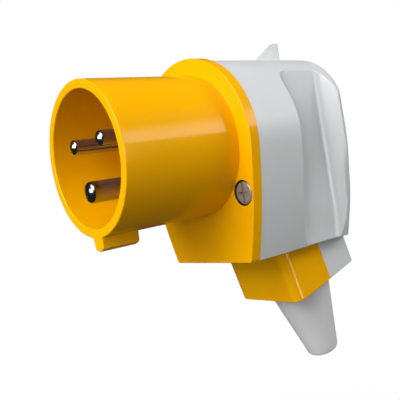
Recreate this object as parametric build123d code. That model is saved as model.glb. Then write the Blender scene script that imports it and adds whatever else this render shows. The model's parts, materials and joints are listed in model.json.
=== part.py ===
from build123d import *
import math
import os

os.makedirs("parts", exist_ok=True)

# Right-angle industrial plug, 16 A size, two line pins and earth.
# Frame: the plug axis is Y, the mouth looks along -Y with its rim plane at y = 0,
# the cable leaves downwards (-Z), X runs to the right seen from the mouth. Millimetres.

# Shroud, from the 16 A standard size
shroud_inner_r = 22.0
shroud_wall = 3.0
shroud_outer_r = shroud_inner_r + shroud_wall
shroud_length = 43.0
rim_round = 0.6
floor_y = 38.0
floor_thickness = 3.0
floor_hole_r = 17.0

# Key rib under the mouth
key_length = 13.8
key_root_width = 6.4
key_tip_width = 5.2
key_height = 4.25

# Flange and body outline: a round top, long side curves and a flat bottom
flange_thickness = 4.0
top_r = 30.5
tangent_z = -4.0
bottom_z = -42.2
bottom_half_width = 21.0
corner_r = 1.0
rear_bore_r = 22.0

# Pins and their carrier
pin_circle_r = 10.35
earth_pin_r = 3.5
line_pin_r = 2.5
earth_tip_y = -0.9
line_tip_y = 1.5
earth_tip_round = 1.1
line_tip_round = 0.8
pin_groove_depth = 0.6
pin_groove_width = 1.0
pin_groove_front = 0.5
pin_shank_extra = 0.3
carrier_boss_r = 16.9
carrier_flange_r = 21.8
carrier_flange_thickness = 4.0
carrier_rear_y = 56.0
terminal_length = 12.0
earth_terminal_r = 4.6
line_terminal_r = 3.9
wire_hole_r = 1.7
wire_hole_depth = 7.0
carrier_gasket_thickness = 1.0
carrier_gasket_inner_r = 17.2
carrier_gasket_outer_r = 18.6
carrier_screw_x = 20.0
carrier_screw_r = 1.1
carrier_screw_head_r = 1.7
carrier_screw_head_h = 1.5
terminal_screw_r = 1.5
terminal_screw_head_r = 2.4
terminal_screw_head_h = 1.5

# Rear cover
cover_back_y = 103.0
cover_back_bulge_r = 60.0
cover_back_round = 5.0
cover_back_lean = 1.8
back_straight_z = -6.0
cover_corner_round = 6.0
cover_wall = 3.0
cover_rear_wall = 5.2
pocket_wall = 2.4
cavity_step_y = 64.0
pocket_front_y = 67.0
pocket_front_round = 6.5
pocket_depth = 9.4
pocket_fold_top_y = 90.6
pocket_fold_mid_y = 86.3
pocket_fold_low_y = 82.6
crest_mid_z = -12.0
pocket_crest_y = 91.5
crest_inset = 2.5
gasket_inset = 1.0
gasket_width = 1.2
gasket_height = 1.2

# Latch nose on top of the cover
nose_thickness = 2.0
nose_front_y = 83.1
nose_top_front_y = 93.2
nose_rear_y = 94.8
nose_top_z = 38.1

# Cover screws, one on each side of the flange
cover_screw_edge = 4.97
cover_screw_z = -18.8
cover_screw_head_r = 3.85
cover_screw_head_h = 1.9
cover_screw_sink = 0.2
cover_screw_r = 2.0
cover_screw_length = 10.0
cover_screw_slot = 0.9
cover_screw_cross = 4.4
counterbore_gap = 0.3
seal_thickness = 0.5
boss_r = 4.4
boss_length = 11.0
insert_r = 3.0
insert_length = 7.0

# Neck: two gland halves, tilted backwards
neck_tilt = 15.0
neck_front_y = 68.2
neck_front_z = -62.1
neck_depth = 33.4
neck_seam = 18.9
neck_half_width = 16.0
neck_bulge = 0.2
neck_front_round = 3.5
neck_rear_round = 1.0
neck_gap = 0.15
collar_height = 4.0
collar_extra = 2.0
collar_depth = 31.0
bottom_wall = 3.0
upper_bore_r = 6.5

# Boot, seal and cord clamp
boot_r = 12.6
boot_tip_r = 6.1
boot_length = 31.4
boot_hole_r = 4.0
boot_tip_round = 1.8
boot_flange_r = 13.5
boot_flange_h = 3.0
boot_neck_h = 3.0
seal_r = 11.0
seal_hole_r = 4.2
seal_h = 7.0
clamp_seam_gap = 1.15
clamp_half_width = 11.5
clamp_post_depth = 8.0
clamp_height = 9.0
clamp_bar = 6.0
clamp_groove_r = 4.2
clamp_screw_x = 8.2
clamp_screw_r = 1.3
clamp_screw_head_r = 2.2
clamp_screw_head_h = 1.6
clamp_screw_grip = 6.0
gland_screw_x = 11.0
gland_screw_along = -15.5
gland_screw_r = 1.2
gland_screw_head_r = 2.0
gland_screw_head_h = 1.6
gland_screw_grip = 8.0

# Clearances
slip = 0.05
thread_gap = 0.02


def front_plane(y):
    """Plane across the plug axis at y, its local axes along X and Z."""
    return Plane(origin=(0, y, 0), x_dir=(1, 0, 0), z_dir=(0, -1, 0))


def neck_point(depth, along):
    """Point in the middle plane: depth behind the neck's front face, along its axis from the end."""
    t = math.radians(neck_tilt)
    y = neck_front_y + depth * math.cos(t) + along * math.sin(t)
    z = neck_front_z + depth * math.sin(t) - along * math.cos(t)
    return (0, y, z)


def neck_plane(along):
    """Plane across the neck axis, local x along X and local y to the back, through the front face."""
    t = math.radians(neck_tilt)
    return Plane(origin=neck_point(0, along), x_dir=(1, 0, 0), z_dir=(0, -math.sin(t), math.cos(t)))


def rod(x, z, r, y0, y1):
    """Cylinder along the plug axis direction between y0 and y1."""
    with BuildPart() as p:
        with BuildSketch(front_plane(y0)):
            with Locations((x, z)):
                Circle(r)
        extrude(amount=-(y1 - y0))
    return p.part


def neck_rod(depth, x, r, a0, a1):
    """Cylinder along the neck axis between a0 and a1, measured downwards from the neck end."""
    with BuildPart() as p:
        with BuildSketch(neck_plane(a1)):
            with Locations((x, depth)):
                Circle(r)
        extrude(amount=a1 - a0)
    return p.part


def box_between(x0, x1, y0, y1, z0, z1):
    """Box between two opposite corners."""
    b = Box(x1 - x0, y1 - y0, z1 - z0)
    return b.moved(Location(((x0 + x1) / 2, (y0 + y1) / 2, (z0 + z1) / 2)))


def side_arc():
    """Centre, radius and tangent point of the long side curve on the right."""
    a = math.asin(tangent_z / top_r)
    px = top_r * math.cos(a)
    dx = bottom_half_width - px
    dz = bottom_z - tangent_z
    r = -(dx * dx + dz * dz) / (2 * (dx * math.cos(a) + dz * math.sin(a)))
    return (px - r * math.cos(a), tangent_z - r * math.sin(a)), r, a


def outline_x(z, inset):
    """Half width of the outline at height z."""
    centre, r, a = side_arc()
    if z >= tangent_z:
        return math.sqrt((top_r - inset) ** 2 - z * z)
    return centre[0] + math.sqrt((r - inset) ** 2 - (z - centre[1]) ** 2)


def outline(y0, y1, inset, corner=corner_r):
    """Solid with the body outline between y0 and y1, drawn in by the inset."""
    a = side_arc()[2]
    tx = (top_r - inset) * math.cos(a)
    tz = (top_r - inset) * math.sin(a)
    low = bottom_z + inset
    mid = (tz + low) / 2
    bx = outline_x(low, inset)
    mx = outline_x(mid, inset)
    with BuildPart() as p:
        with BuildSketch(front_plane(y0)) as s:
            with BuildLine():
                ThreePointArc((tx, tz), (0, top_r - inset), (-tx, tz))
                ThreePointArc((-tx, tz), (-mx, mid), (-bx, low))
                Line((-bx, low), (bx, low))
                ThreePointArc((bx, low), (mx, mid), (tx, tz))
            make_face()
            if corner > 0:
                fillet(s.vertices().group_by(Axis.Z)[0], corner)
        extrude(amount=-(y1 - y0))
    return p.part


def flange_y():
    return shroud_length + flange_thickness


def cover_screw_x():
    """Distance of the cover screws from the middle, at a set distance from the outline."""
    return outline_x(cover_screw_z, 0) - cover_screw_edge


def pocket_floor_x():
    return top_r - pocket_depth


def crest_x():
    return top_r - crest_inset


def tool_x():
    """How far cutting shapes reach past the widest point of the outline."""
    return top_r + 10


def key_rib():
    """Rib under the mouth that orients the plug, with a rounded tip."""
    root_z = -(shroud_outer_r - 0.4)
    tip_z = -(shroud_outer_r + key_height)
    mid_z = tip_z + 0.9
    with BuildPart() as p:
        with BuildSketch(front_plane(0)):
            with BuildLine():
                Line((-key_root_width / 2, root_z), (key_root_width / 2, root_z))
                Line((key_root_width / 2, root_z), (key_tip_width / 2, mid_z))
                ThreePointArc((key_tip_width / 2, mid_z), (0, tip_z), (-key_tip_width / 2, mid_z))
                Line((-key_tip_width / 2, mid_z), (-key_root_width / 2, root_z))
            make_face()
        extrude(amount=-key_length)
    return p.part


def pins_xz():
    """Centres of the earth pin and the two line pins."""
    a = math.radians(30)
    return (0, -pin_circle_r), (-pin_circle_r * math.cos(a), pin_circle_r * math.sin(a)), (
        pin_circle_r * math.cos(a), pin_circle_r * math.sin(a))


def front_shell():
    """Yellow shroud with its key rib, floor and flange in one moulding."""
    body = rod(0, 0, shroud_outer_r, 0, shroud_length) + key_rib()
    body = body + outline(shroud_length, flange_y(), 0)
    body = body - rod(0, 0, shroud_inner_r, -1, floor_y)
    body = body - rod(0, 0, floor_hole_r, floor_y - 1, floor_y + floor_thickness + 1)
    body = body - rod(0, 0, rear_bore_r, floor_y + floor_thickness, flange_y() + 1)
    for side in (-1, 1):
        x = side * cover_screw_x()
        depth = cover_screw_sink + cover_screw_head_h + seal_thickness
        body = body - rod(x, cover_screw_z, cover_screw_head_r + counterbore_gap, shroud_length - 1,
                          shroud_length + depth)
        body = body - rod(x, cover_screw_z, cover_screw_r + 0.2, shroud_length, flange_y() + 1)
        body = body - rod(side * carrier_screw_x, 0, carrier_screw_r + thread_gap, floor_y + 0.5,
                          floor_y + floor_thickness + 1)
    rim = body.edges().filter_by(GeomType.CIRCLE).filter_by_position(Axis.Y, -0.01, 0.01)
    rim = [e for e in rim if e.radius > shroud_inner_r - 0.1 and e.length > 60]
    return fillet(rim, rim_round)


def carrier_flange_y():
    return floor_y + floor_thickness + carrier_gasket_thickness


def pin_carrier():
    """Insulating body that holds the pins; its front face closes the shell floor."""
    flange_back = carrier_flange_y() + carrier_flange_thickness
    body = rod(0, 0, carrier_boss_r, floor_y, carrier_rear_y)
    body = body + rod(0, 0, carrier_flange_r, carrier_flange_y(), flange_back)
    earth, left, right = pins_xz()
    fit = pin_shank_extra + slip
    body = body - rod(earth[0], earth[1], earth_pin_r + fit, floor_y - 1, carrier_rear_y + 1)
    for c in (left, right):
        body = body - rod(c[0], c[1], line_pin_r + fit, floor_y - 1, carrier_rear_y + 1)
    for side in (-1, 1):
        body = body - rod(side * carrier_screw_x, 0, carrier_screw_r + 0.15, floor_y, flange_back + 1)
    return body


def carrier_gasket():
    """Sealing ring between the carrier flange and the shell floor."""
    y0 = floor_y + floor_thickness
    y1 = y0 + carrier_gasket_thickness
    return rod(0, 0, carrier_gasket_outer_r, y0, y1) - rod(0, 0, carrier_gasket_inner_r, y0 - 1, y1 + 1)


def carrier_screws():
    """Two screws that hold the carrier against the shell floor."""
    seat = carrier_flange_y() + carrier_flange_thickness
    group = []
    for side in (-1, 1):
        x = side * carrier_screw_x
        s = rod(x, 0, carrier_screw_r, floor_y + 1, seat) + rod(x, 0, carrier_screw_head_r, seat,
                                                               seat + carrier_screw_head_h)
        slot = box_between(x - 3, x + 3, seat + 1, seat + 3, -0.25, 0.25)
        group.append(s - slot)
    return Compound(children=group)


def contact_pin(centre, r, terminal_r, toward, tip_y, tip_round):
    """Plated pin with a domed tip and a wire terminal behind the carrier."""
    x, z = centre
    end = carrier_rear_y + terminal_length
    groove_y = floor_y - pin_groove_front
    shank_y = groove_y + pin_groove_width
    body = rod(x, z, r, tip_y, groove_y)
    tip = body.edges().filter_by(GeomType.CIRCLE).sort_by(Axis.Y)[0]
    body = fillet(tip, tip_round)
    body = body + rod(x, z, r - pin_groove_depth, groove_y, shank_y)
    body = body + rod(x, z, r + pin_shank_extra, shank_y, carrier_rear_y)
    body = body + rod(x, z, terminal_r, carrier_rear_y, end)
    body = body - rod(x, z, wire_hole_r, end - wire_hole_depth, end + 1)
    hole = terminal_screw_shank(centre, terminal_r, toward, terminal_screw_r + thread_gap, 1.0)
    return body - hole


def terminal_screw_shank(centre, terminal_r, toward, r, extra):
    """Cross cylinder of a terminal screw, from the wire hole outwards."""
    x, z = centre
    y = carrier_rear_y + terminal_length - wire_hole_depth / 2
    reach = terminal_r + extra
    start = wire_hole_r * 0.5
    direction = Vector(toward[0], 0, toward[1])
    origin = Vector(x, y, z) + direction * start
    plane = Plane(origin=origin, x_dir=(0, 1, 0), z_dir=direction)
    with BuildPart() as p:
        with BuildSketch(plane):
            Circle(r)
        extrude(amount=reach - start)
    return p.part


def terminal_screw(centre, terminal_r, toward):
    """Clamping screw of one terminal with a slotted head outside the barrel."""
    x, z = centre
    y = carrier_rear_y + terminal_length - wire_hole_depth / 2
    direction = Vector(toward[0], 0, toward[1])
    shank = terminal_screw_shank(centre, terminal_r, toward, terminal_screw_r, 0.3)
    origin = Vector(x, y, z) + direction * (terminal_r + 0.1)
    plane = Plane(origin=origin, x_dir=(0, 1, 0), z_dir=direction)
    top = Plane(origin=origin + direction * terminal_screw_head_h, x_dir=(0, 1, 0), z_dir=direction)
    with BuildPart() as p:
        with BuildSketch(plane):
            Circle(terminal_screw_head_r)
        extrude(amount=terminal_screw_head_h)
        with BuildSketch(top):
            Rectangle(6, 0.6)
        extrude(amount=-0.7, mode=Mode.SUBTRACT)
    return shank + p.part


def back_limit(margin):
    """Body that bounds the cover at the back: a bulged face and two rounded rear corners."""
    back = cover_back_y - margin
    half = crest_x() - margin
    drop = cover_back_bulge_r - math.sqrt(cover_back_bulge_r ** 2 - half ** 2)
    front = flange_y() - 5
    step = pocket_front_y + 6
    wide = tool_x()
    with BuildPart() as p:
        with BuildSketch(Plane.XY.offset(-60)) as s:
            with BuildLine():
                Polyline((-half, back - drop), (-half, step), (-wide, step), (-wide, front),
                         (wide, front), (wide, step), (half, step), (half, back - drop))
                ThreePointArc((half, back - drop), (0, back), (-half, back - drop))
            make_face()
            fillet(s.vertices().group_by(Axis.Y)[-1], cover_corner_round)
        extrude(amount=120)
        with BuildSketch(Plane.YZ.offset(-45)):
            with BuildLine():
                Line((10, -60), (10, 60))
                Line((10, 60), (back, 60))
                Line((back, 60), (back, back_straight_z))
                m = (back_straight_z + bottom_z) / 2
                ThreePointArc((back, back_straight_z), (back - cover_back_lean / 4, m),
                              (back - cover_back_lean, bottom_z))
                Line((back - cover_back_lean, bottom_z), (back - cover_back_lean, -60))
                Line((back - cover_back_lean, -60), (10, -60))
            make_face()
        extrude(amount=90, mode=Mode.INTERSECT)
    return p.part


def pocket_section(z, fold_y, rise, crest, corner, leave):
    """Plan section of the right finger pocket at height z, from its front wall round the rear corner."""
    x = pocket_floor_x()
    r = pocket_front_round
    with BuildSketch(Plane.XY.offset(z)) as s:
        with BuildLine():
            Line((tool_x(), pocket_front_y), (x + r, pocket_front_y))
            ThreePointArc((x + r, pocket_front_y), (x + 0.29 * r, pocket_front_y + 0.36 * r),
                          (x, pocket_front_y + 1.25 * r))
            Line((x, pocket_front_y + 1.25 * r), (x, fold_y))
            ThreePointArc((x, fold_y), rise, crest)
            ThreePointArc(crest, corner, leave)
            Polyline(leave, (leave[0] + 1, leave[1] + 8), (tool_x(), leave[1] + 8), (tool_x(), pocket_front_y))
        make_face()
    return s.sketch


def pocket():
    """Finger pocket on the right side: a flat floor and a curved rise to the rear crest."""
    x = pocket_floor_x()
    c = crest_x()
    y = pocket_crest_y
    top = pocket_section(top_r + 5, pocket_fold_top_y, (c - 3.6, pocket_fold_top_y + 0.7),
                         (c + 0.5, y + 1.5), (c + 3.5, y + 3), (c + 6, y + 5))
    mid = pocket_section(crest_mid_z, pocket_fold_mid_y, (c - 4.6, pocket_fold_mid_y + 2.2),
                         (c + 0.3, y + 0.2), (c + 1.0, y + 3.8), (c - 1.0, y + 8.2))
    low = pocket_section(bottom_z - 5, pocket_fold_low_y, (x + 0.2, pocket_fold_low_y + 4.6),
                         (x - 0.1, y), (x - 2.9, y + 4.1), (x - 7.6, y + 7.9))
    return loft([top, mid, low], ruled=True)


def latch_nose():
    """Thin fin on top of the cover that a socket lid hooks behind."""
    with BuildPart() as p:
        with BuildSketch(Plane.YZ.offset(-nose_thickness / 2)):
            with BuildLine():
                Polyline((nose_front_y, top_r - 1), (nose_front_y, top_r), (nose_top_front_y, nose_top_z),
                         (nose_rear_y, nose_top_z), (nose_rear_y, top_r - 1), close=True)
            make_face()
        extrude(amount=nose_thickness)
    return p.part


def neck_block(grow):
    """Full neck section from its end face up into the cover, grown by a margin."""
    w = neck_half_width + grow
    mid = neck_depth / 2
    with BuildPart() as p:
        with BuildSketch(neck_plane(0)):
            with BuildLine():
                Line((-w, -grow), (w, -grow))
                ThreePointArc((w, -grow), (w + neck_bulge, mid), (w, neck_depth + grow))
                Line((w, neck_depth + grow), (-w, neck_depth + grow))
                ThreePointArc((-w, neck_depth + grow), (-w - neck_bulge, mid), (-w, -grow))
            make_face()
        extrude(amount=34)
    t = math.radians(neck_tilt)
    axis = Vector(0, math.sin(t), -math.cos(t))
    along = [e for e in p.part.edges() if e.geom_type == GeomType.LINE and abs((e % 0.5).dot(axis)) > 0.99]
    front = [e for e in along if e.center().Y < seam_y(e.center().Z)]
    body = fillet(front, neck_front_round)
    along = [e for e in body.edges() if e.geom_type == GeomType.LINE and abs((e % 0.5).dot(axis)) > 0.99]
    rear = [e for e in along if e.center().Y > seam_y(e.center().Z) + 10]
    return fillet(rear, neck_rear_round)


def seam_y(z):
    """Y of the plane between the two gland halves at height z."""
    t = math.radians(neck_tilt)
    seam = neck_point(neck_seam, 0)
    return seam[1] - (z - seam[2]) * math.tan(t)


def neck_slab(d0, d1):
    """Wide slab along the neck axis between two depths behind its front face."""
    with BuildPart() as p:
        with BuildSketch(neck_plane(5)):
            with Locations((0, (d0 + d1) / 2)):
                Rectangle(90, d1 - d0)
        extrude(amount=60)
    return p.part


def collar_z():
    return bottom_z + bottom_wall


def neck_bores():
    """Stepped hole of the neck for the boot, its flange, the seal and the cord."""
    c = neck_depth / 2
    lower = neck_rod(c, 0, boot_r + slip, -boot_neck_h - 1, 1)
    recess = neck_rod(c, 0, boot_flange_r + slip, -boot_neck_h - boot_flange_h, -boot_neck_h)
    top = -boot_neck_h - boot_flange_h
    seat = neck_rod(c, 0, seal_r + slip, top - seal_h, top + 1)
    upper = neck_rod(c, 0, upper_bore_r, -40, top - seal_h + 1)
    return lower + recess + seat + upper


def gland_body():
    """Both neck halves as one block: the tilted neck, its collar and the clamp post."""
    top = collar_z() + collar_height
    cap = box_between(-60, 60, 0, 160, top, top + 40)
    body = neck_block(0) - cap
    w = neck_half_width + collar_extra
    front = neck_front_y - (top - neck_front_z) * math.tan(math.radians(neck_tilt)) - collar_extra
    body = body + box_between(-w, w, front, front + collar_depth, collar_z(), top)
    body = body - neck_bores()
    post = box_between(-clamp_half_width, clamp_half_width, clamp_y() - clamp_post_depth, clamp_y(),
                       top - 0.5, top + clamp_height)
    return body + (post - clamp_groove())


def clamp_y():
    """Plane where the cord clamp's saddle meets its post, in front of the seam at the post's top."""
    t = math.radians(neck_tilt)
    rise = collar_z() + collar_height + clamp_height - neck_front_z
    return neck_front_y + (neck_seam - rise * math.sin(t)) / math.cos(t) - clamp_seam_gap


def clamp_groove():
    """Round channel for the cord between the clamp post and its saddle."""
    top = collar_z() + collar_height
    groove = Cylinder(clamp_groove_r, 2 * clamp_height)
    return groove.moved(Location((0, clamp_y(), top + clamp_height / 2)))


def gland_screw_holes(r, d0, d1):
    """Two cylinders across the seam, between two depths behind the neck's front face."""
    t = math.radians(neck_tilt)
    holes = []
    for side in (-1, 1):
        o = neck_point(d0, gland_screw_along)
        plane = Plane(origin=(side * gland_screw_x, o[1], o[2]), x_dir=(1, 0, 0),
                      z_dir=(0, math.cos(t), math.sin(t)))
        with BuildPart() as p:
            with BuildSketch(plane):
                Circle(r)
            extrude(amount=d1 - d0)
        holes.append(p.part)
    return holes


def gland_front():
    """Front half of the neck with the post of the cord clamp."""
    body = gland_body() & neck_slab(-20, neck_seam)
    for h in gland_screw_holes(gland_screw_r + thread_gap, neck_seam - gland_screw_grip - 1, neck_seam + 1):
        body = body - h
    for h in clamp_screw_shanks(clamp_screw_r + thread_gap, clamp_y() - clamp_screw_grip - 1, clamp_y() + 1):
        body = body - h
    return body


def gland_rear():
    """Rear half of the neck, screwed to the front half."""
    body = gland_body() & neck_slab(neck_seam, neck_depth + 20)
    for h in gland_screw_holes(gland_screw_r + 0.15, neck_seam - 1, neck_depth + 1):
        body = body - h
    seat = neck_depth - gland_screw_head_h - 0.5
    for h in gland_screw_holes(gland_screw_head_r + 0.1, seat, neck_depth + 3):
        body = body - h
    return body


def gland_screws():
    """Two screws that pull the neck halves together, sunk in the rear half."""
    seat = neck_depth - gland_screw_head_h - 0.5
    shanks = gland_screw_holes(gland_screw_r, neck_seam - gland_screw_grip, seat)
    heads = gland_screw_holes(gland_screw_head_r, seat, seat + gland_screw_head_h)
    slots = neck_slab(seat + gland_screw_head_h - 0.6, seat + gland_screw_head_h + 1)
    group = []
    for side, shank, head in zip((-1, 1), shanks, heads):
        x = side * gland_screw_x
        bar = slots & box_between(x - 0.25, x + 0.25, 80, 110, -60, -20)
        group.append(shank + (head - bar))
    return Compound(children=group)


def clamp_screw_shanks(r, y0, y1):
    """Two cylinders along Y through the cord clamp."""
    z = collar_z() + collar_height + clamp_height / 2
    return [rod(side * clamp_screw_x, z, r, y0, y1) for side in (-1, 1)]


def cord_clamp():
    """Saddle that presses the cord against the post."""
    top = collar_z() + collar_height
    bar = box_between(-clamp_half_width, clamp_half_width, clamp_y(), clamp_y() + clamp_bar, top,
                      top + clamp_height)
    bar = bar - clamp_groove()
    for h in clamp_screw_shanks(clamp_screw_r + 0.15, clamp_y() - 1, clamp_y() + clamp_bar + 1):
        bar = bar - h
    return bar


def cord_clamp_screws():
    """Two slotted screws of the cord clamp."""
    seat = clamp_y() + clamp_bar
    shanks = clamp_screw_shanks(clamp_screw_r, clamp_y() - clamp_screw_grip, seat)
    heads = clamp_screw_shanks(clamp_screw_head_r, seat, seat + clamp_screw_head_h)
    z = collar_z() + collar_height + clamp_height / 2
    group = []
    for side, shank, head in zip((-1, 1), shanks, heads):
        x = side * clamp_screw_x
        bar = box_between(x - 3, x + 3, seat + clamp_screw_head_h - 0.6, seat + 3, z - 0.3, z + 0.3)
        group.append(shank + (head - bar))
    return Compound(children=group)


def boot_cone():
    """Tapered outside of the boot below the neck end."""
    c = neck_depth / 2
    t = math.radians(neck_tilt)
    p0 = Vector(*neck_point(c, 0))
    p1 = Vector(*neck_point(c, boot_length))
    axis = (0, math.sin(t), -math.cos(t))
    with BuildPart() as p:
        with BuildSketch(Plane(origin=p0, x_dir=(1, 0, 0), z_dir=axis)):
            Circle(boot_r)
        with BuildSketch(Plane(origin=p1, x_dir=(1, 0, 0), z_dir=axis)):
            Circle(boot_tip_r)
        loft()
    tip = p.part.edges().filter_by(GeomType.CIRCLE).sort_by(Axis.Z)[0]
    return fillet(tip, boot_tip_round)


def cable_boot():
    """Soft bend relief with its flange caught inside the neck."""
    c = neck_depth / 2
    body = boot_cone() + neck_rod(c, 0, boot_r, -boot_neck_h, 0)
    body = body + neck_rod(c, 0, boot_flange_r, -boot_neck_h - boot_flange_h, -boot_neck_h)
    return body - neck_rod(c, 0, boot_hole_r, -boot_neck_h - boot_flange_h - 1, boot_length + 1)


def cable_seal():
    """Rubber ring around the cord, pressed on the boot flange."""
    c = neck_depth / 2
    a1 = -boot_neck_h - boot_flange_h
    return neck_rod(c, 0, seal_r, a1 - seal_h, a1) - neck_rod(c, 0, seal_hole_r, a1 - seal_h - 1, a1 + 1)


def rear_cover():
    """Grey cover with finger pockets, latch nose and the opening for the neck."""
    y0 = flange_y()
    body = outline(y0, cover_back_y + 5, 0, 0) & back_limit(0)
    top = [e for e in body.edges() if e.center().Y > pocket_crest_y + 1 and e.geom_type == GeomType.BSPLINE
           and e.center().Z > 0]
    body = fillet(top, cover_back_round)
    cut = pocket()
    body = body - cut - mirror(cut, about=Plane.YZ)
    cavity = outline(y0 - 1, cavity_step_y, cover_wall)
    half = pocket_floor_x() - pocket_wall
    deep = outline(cavity_step_y - 1, cover_back_y, cover_wall) & back_limit(cover_rear_wall)
    deep = deep & box_between(-half, half, 0, 200, -60, 60)
    w = neck_half_width + collar_extra + 0.2
    back_y = cover_back_y - cover_rear_wall - 4
    low = box_between(-w, w, y0 - 1, back_y, collar_z(), collar_z() + 12)
    body = body - cavity - deep - low
    body = body + latch_nose()
    for side in (-1, 1):
        boss = rod(side * cover_screw_x(), cover_screw_z, boss_r, y0, y0 + boss_length)
        body = body + boss
        body = body - rod(side * cover_screw_x(), cover_screw_z, insert_r + slip, y0 - 1, insert_y())
        body = body - rod(side * cover_screw_x(), cover_screw_z, cover_screw_r + 0.2, y0, y0 + boss_length - 1.5)
    groove = outline(y0 - 1, y0 + gasket_height, gasket_inset) - outline(
        y0 - 2, y0 + gasket_height + 1, gasket_inset + gasket_width)
    body = body - groove
    return body - neck_block(neck_gap)


def insert_y():
    """Y of the bottom of the threaded insert."""
    return flange_y() + gasket_height + 0.3 + insert_length


def cover_inserts():
    """Two threaded brass inserts in the cover bosses."""
    group = []
    for side in (-1, 1):
        x = side * cover_screw_x()
        y1 = insert_y()
        group.append(rod(x, cover_screw_z, insert_r, y1 - insert_length, y1)
                     - rod(x, cover_screw_z, cover_screw_r + thread_gap, y1 - insert_length - 1, y1 + 1))
    return Compound(children=group)


def cover_gasket():
    """Seal in the groove of the cover's front edge."""
    y0 = flange_y()
    y1 = y0 + gasket_height
    return outline(y0, y1, gasket_inset + slip) - outline(y0 - 1, y1 + 1, gasket_inset + gasket_width - slip)


def cover_screws():
    """Two screws through the flange, with an upright slot and a short recess across it."""
    y0 = shroud_length + cover_screw_sink
    seat = y0 + cover_screw_head_h
    group = []
    for side in (-1, 1):
        x = side * cover_screw_x()
        s = rod(x, cover_screw_z, cover_screw_head_r, y0, seat)
        rim = s.edges().filter_by(GeomType.CIRCLE).sort_by(Axis.Y)[0]
        s = chamfer(rim, 0.45)
        s = s + rod(x, cover_screw_z, cover_screw_r, seat, seat + cover_screw_length)
        half = cover_screw_slot / 2
        cross = cover_screw_cross / 2
        s = s - box_between(x - half, x + half, y0 - 1, y0 + 0.8,
                            cover_screw_z - 2 * cover_screw_head_r, cover_screw_z + 2 * cover_screw_head_r)
        s = s - box_between(x - cross, x + cross, y0 - 1, y0 + 1.1, cover_screw_z - half, cover_screw_z + half)
        group.append(s)
    return Compound(children=group)


def screw_seals():
    """Two sealing rings under the cover screw heads."""
    y0 = shroud_length + cover_screw_sink + cover_screw_head_h
    group = []
    for side in (-1, 1):
        x = side * cover_screw_x()
        group.append(rod(x, cover_screw_z, cover_screw_head_r, y0, y0 + seal_thickness)
                     - rod(x, cover_screw_z, cover_screw_r + slip, y0 - 1, y0 + 2))
    return Compound(children=group)


def earth_pin():
    return contact_pin(pins_xz()[0], earth_pin_r, earth_terminal_r, (0, -1), earth_tip_y,
                       earth_tip_round)


def line_pin_left():
    return contact_pin(pins_xz()[1], line_pin_r, line_terminal_r, (-1, 0), line_tip_y, line_tip_round)


def line_pin_right():
    return contact_pin(pins_xz()[2], line_pin_r, line_terminal_r, (1, 0), line_tip_y, line_tip_round)


def earth_terminal_screw():
    return terminal_screw(pins_xz()[0], earth_terminal_r, (0, -1))


def line_terminal_screws():
    """One terminal screw for each line pin."""
    left = terminal_screw(pins_xz()[1], line_terminal_r, (-1, 0))
    right = terminal_screw(pins_xz()[2], line_terminal_r, (1, 0))
    return Compound(children=[left, right])


pieces = [front_shell, pin_carrier, carrier_gasket, carrier_screws, earth_pin, line_pin_left, line_pin_right,
          earth_terminal_screw, line_terminal_screws, rear_cover, cover_gasket, cover_screws, screw_seals,
          cover_inserts, gland_front, gland_rear, gland_screws, cord_clamp, cord_clamp_screws, cable_seal,
          cable_boot]

for piece in pieces:
    shape = piece()
    export_step(shape, "parts/" + piece.__name__ + ".step")
    print(piece.__name__, len(shape.solids()), round(shape.volume, 1))
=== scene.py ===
import json
import math

import bmesh
import bpy
from mathutils import Matrix, Vector


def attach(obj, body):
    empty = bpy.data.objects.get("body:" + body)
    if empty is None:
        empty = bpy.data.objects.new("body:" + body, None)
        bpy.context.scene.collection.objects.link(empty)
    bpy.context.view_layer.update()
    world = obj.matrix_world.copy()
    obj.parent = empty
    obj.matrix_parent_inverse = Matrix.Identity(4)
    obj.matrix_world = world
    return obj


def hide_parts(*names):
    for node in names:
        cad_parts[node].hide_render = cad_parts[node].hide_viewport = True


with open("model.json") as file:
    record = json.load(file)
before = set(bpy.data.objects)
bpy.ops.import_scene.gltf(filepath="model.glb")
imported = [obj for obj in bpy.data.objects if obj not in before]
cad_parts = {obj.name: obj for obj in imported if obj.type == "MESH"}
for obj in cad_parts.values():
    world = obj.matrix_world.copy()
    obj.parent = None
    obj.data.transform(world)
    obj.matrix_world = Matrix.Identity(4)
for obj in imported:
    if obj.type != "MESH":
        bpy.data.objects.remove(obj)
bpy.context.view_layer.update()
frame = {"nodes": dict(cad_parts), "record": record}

print("frame loaded,", len(frame["nodes"]), "nodes")

# everything is drawn in millimetres and turned into metres when the mesh is made
unit = 0.001
onAxis = 1e-6  # what lies closer to an axis or a middle plane counts as on it
seamMerge = 0.002  # points this close are one point along the cover's seams


def interpolate(a, b, t):
    return a + (b - a) * t


def smoothStep(t):
    t = max(0.0, min(1.0, t))
    return t * t * (3 - 2 * t)


def softMin(a, b, k):
    # minimum of two distances with a rounding of about k where they meet
    h = max(k - abs(a - b), 0.0) / k
    return min(a, b) - h * h * k * 0.25


def newObject(name, bm, factor=unit):
    bmesh.ops.scale(bm, vec=(factor, factor, factor), verts=bm.verts)
    mesh = bpy.data.meshes.new(name)
    bm.to_mesh(mesh)
    bm.free()
    obj = bpy.data.objects.new(name, mesh)
    bpy.context.scene.collection.objects.link(obj)
    return obj


def closeUp(bm, distance=0.004):
    bmesh.ops.remove_doubles(bm, verts=bm.verts, dist=distance)
    bmesh.ops.dissolve_degenerate(bm, dist=0.0005, edges=bm.edges)
    bmesh.ops.recalc_face_normals(bm, faces=bm.faces)


def applyModifiers(obj):
    # new_from_object gives the finished mesh, then the live modifiers go
    graph = bpy.context.evaluated_depsgraph_get()
    graph.update()
    mesh = bpy.data.meshes.new_from_object(obj.evaluated_get(graph))
    obj.modifiers.clear()
    old = obj.data
    obj.data = mesh
    bpy.data.meshes.remove(old)
    return obj


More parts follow.
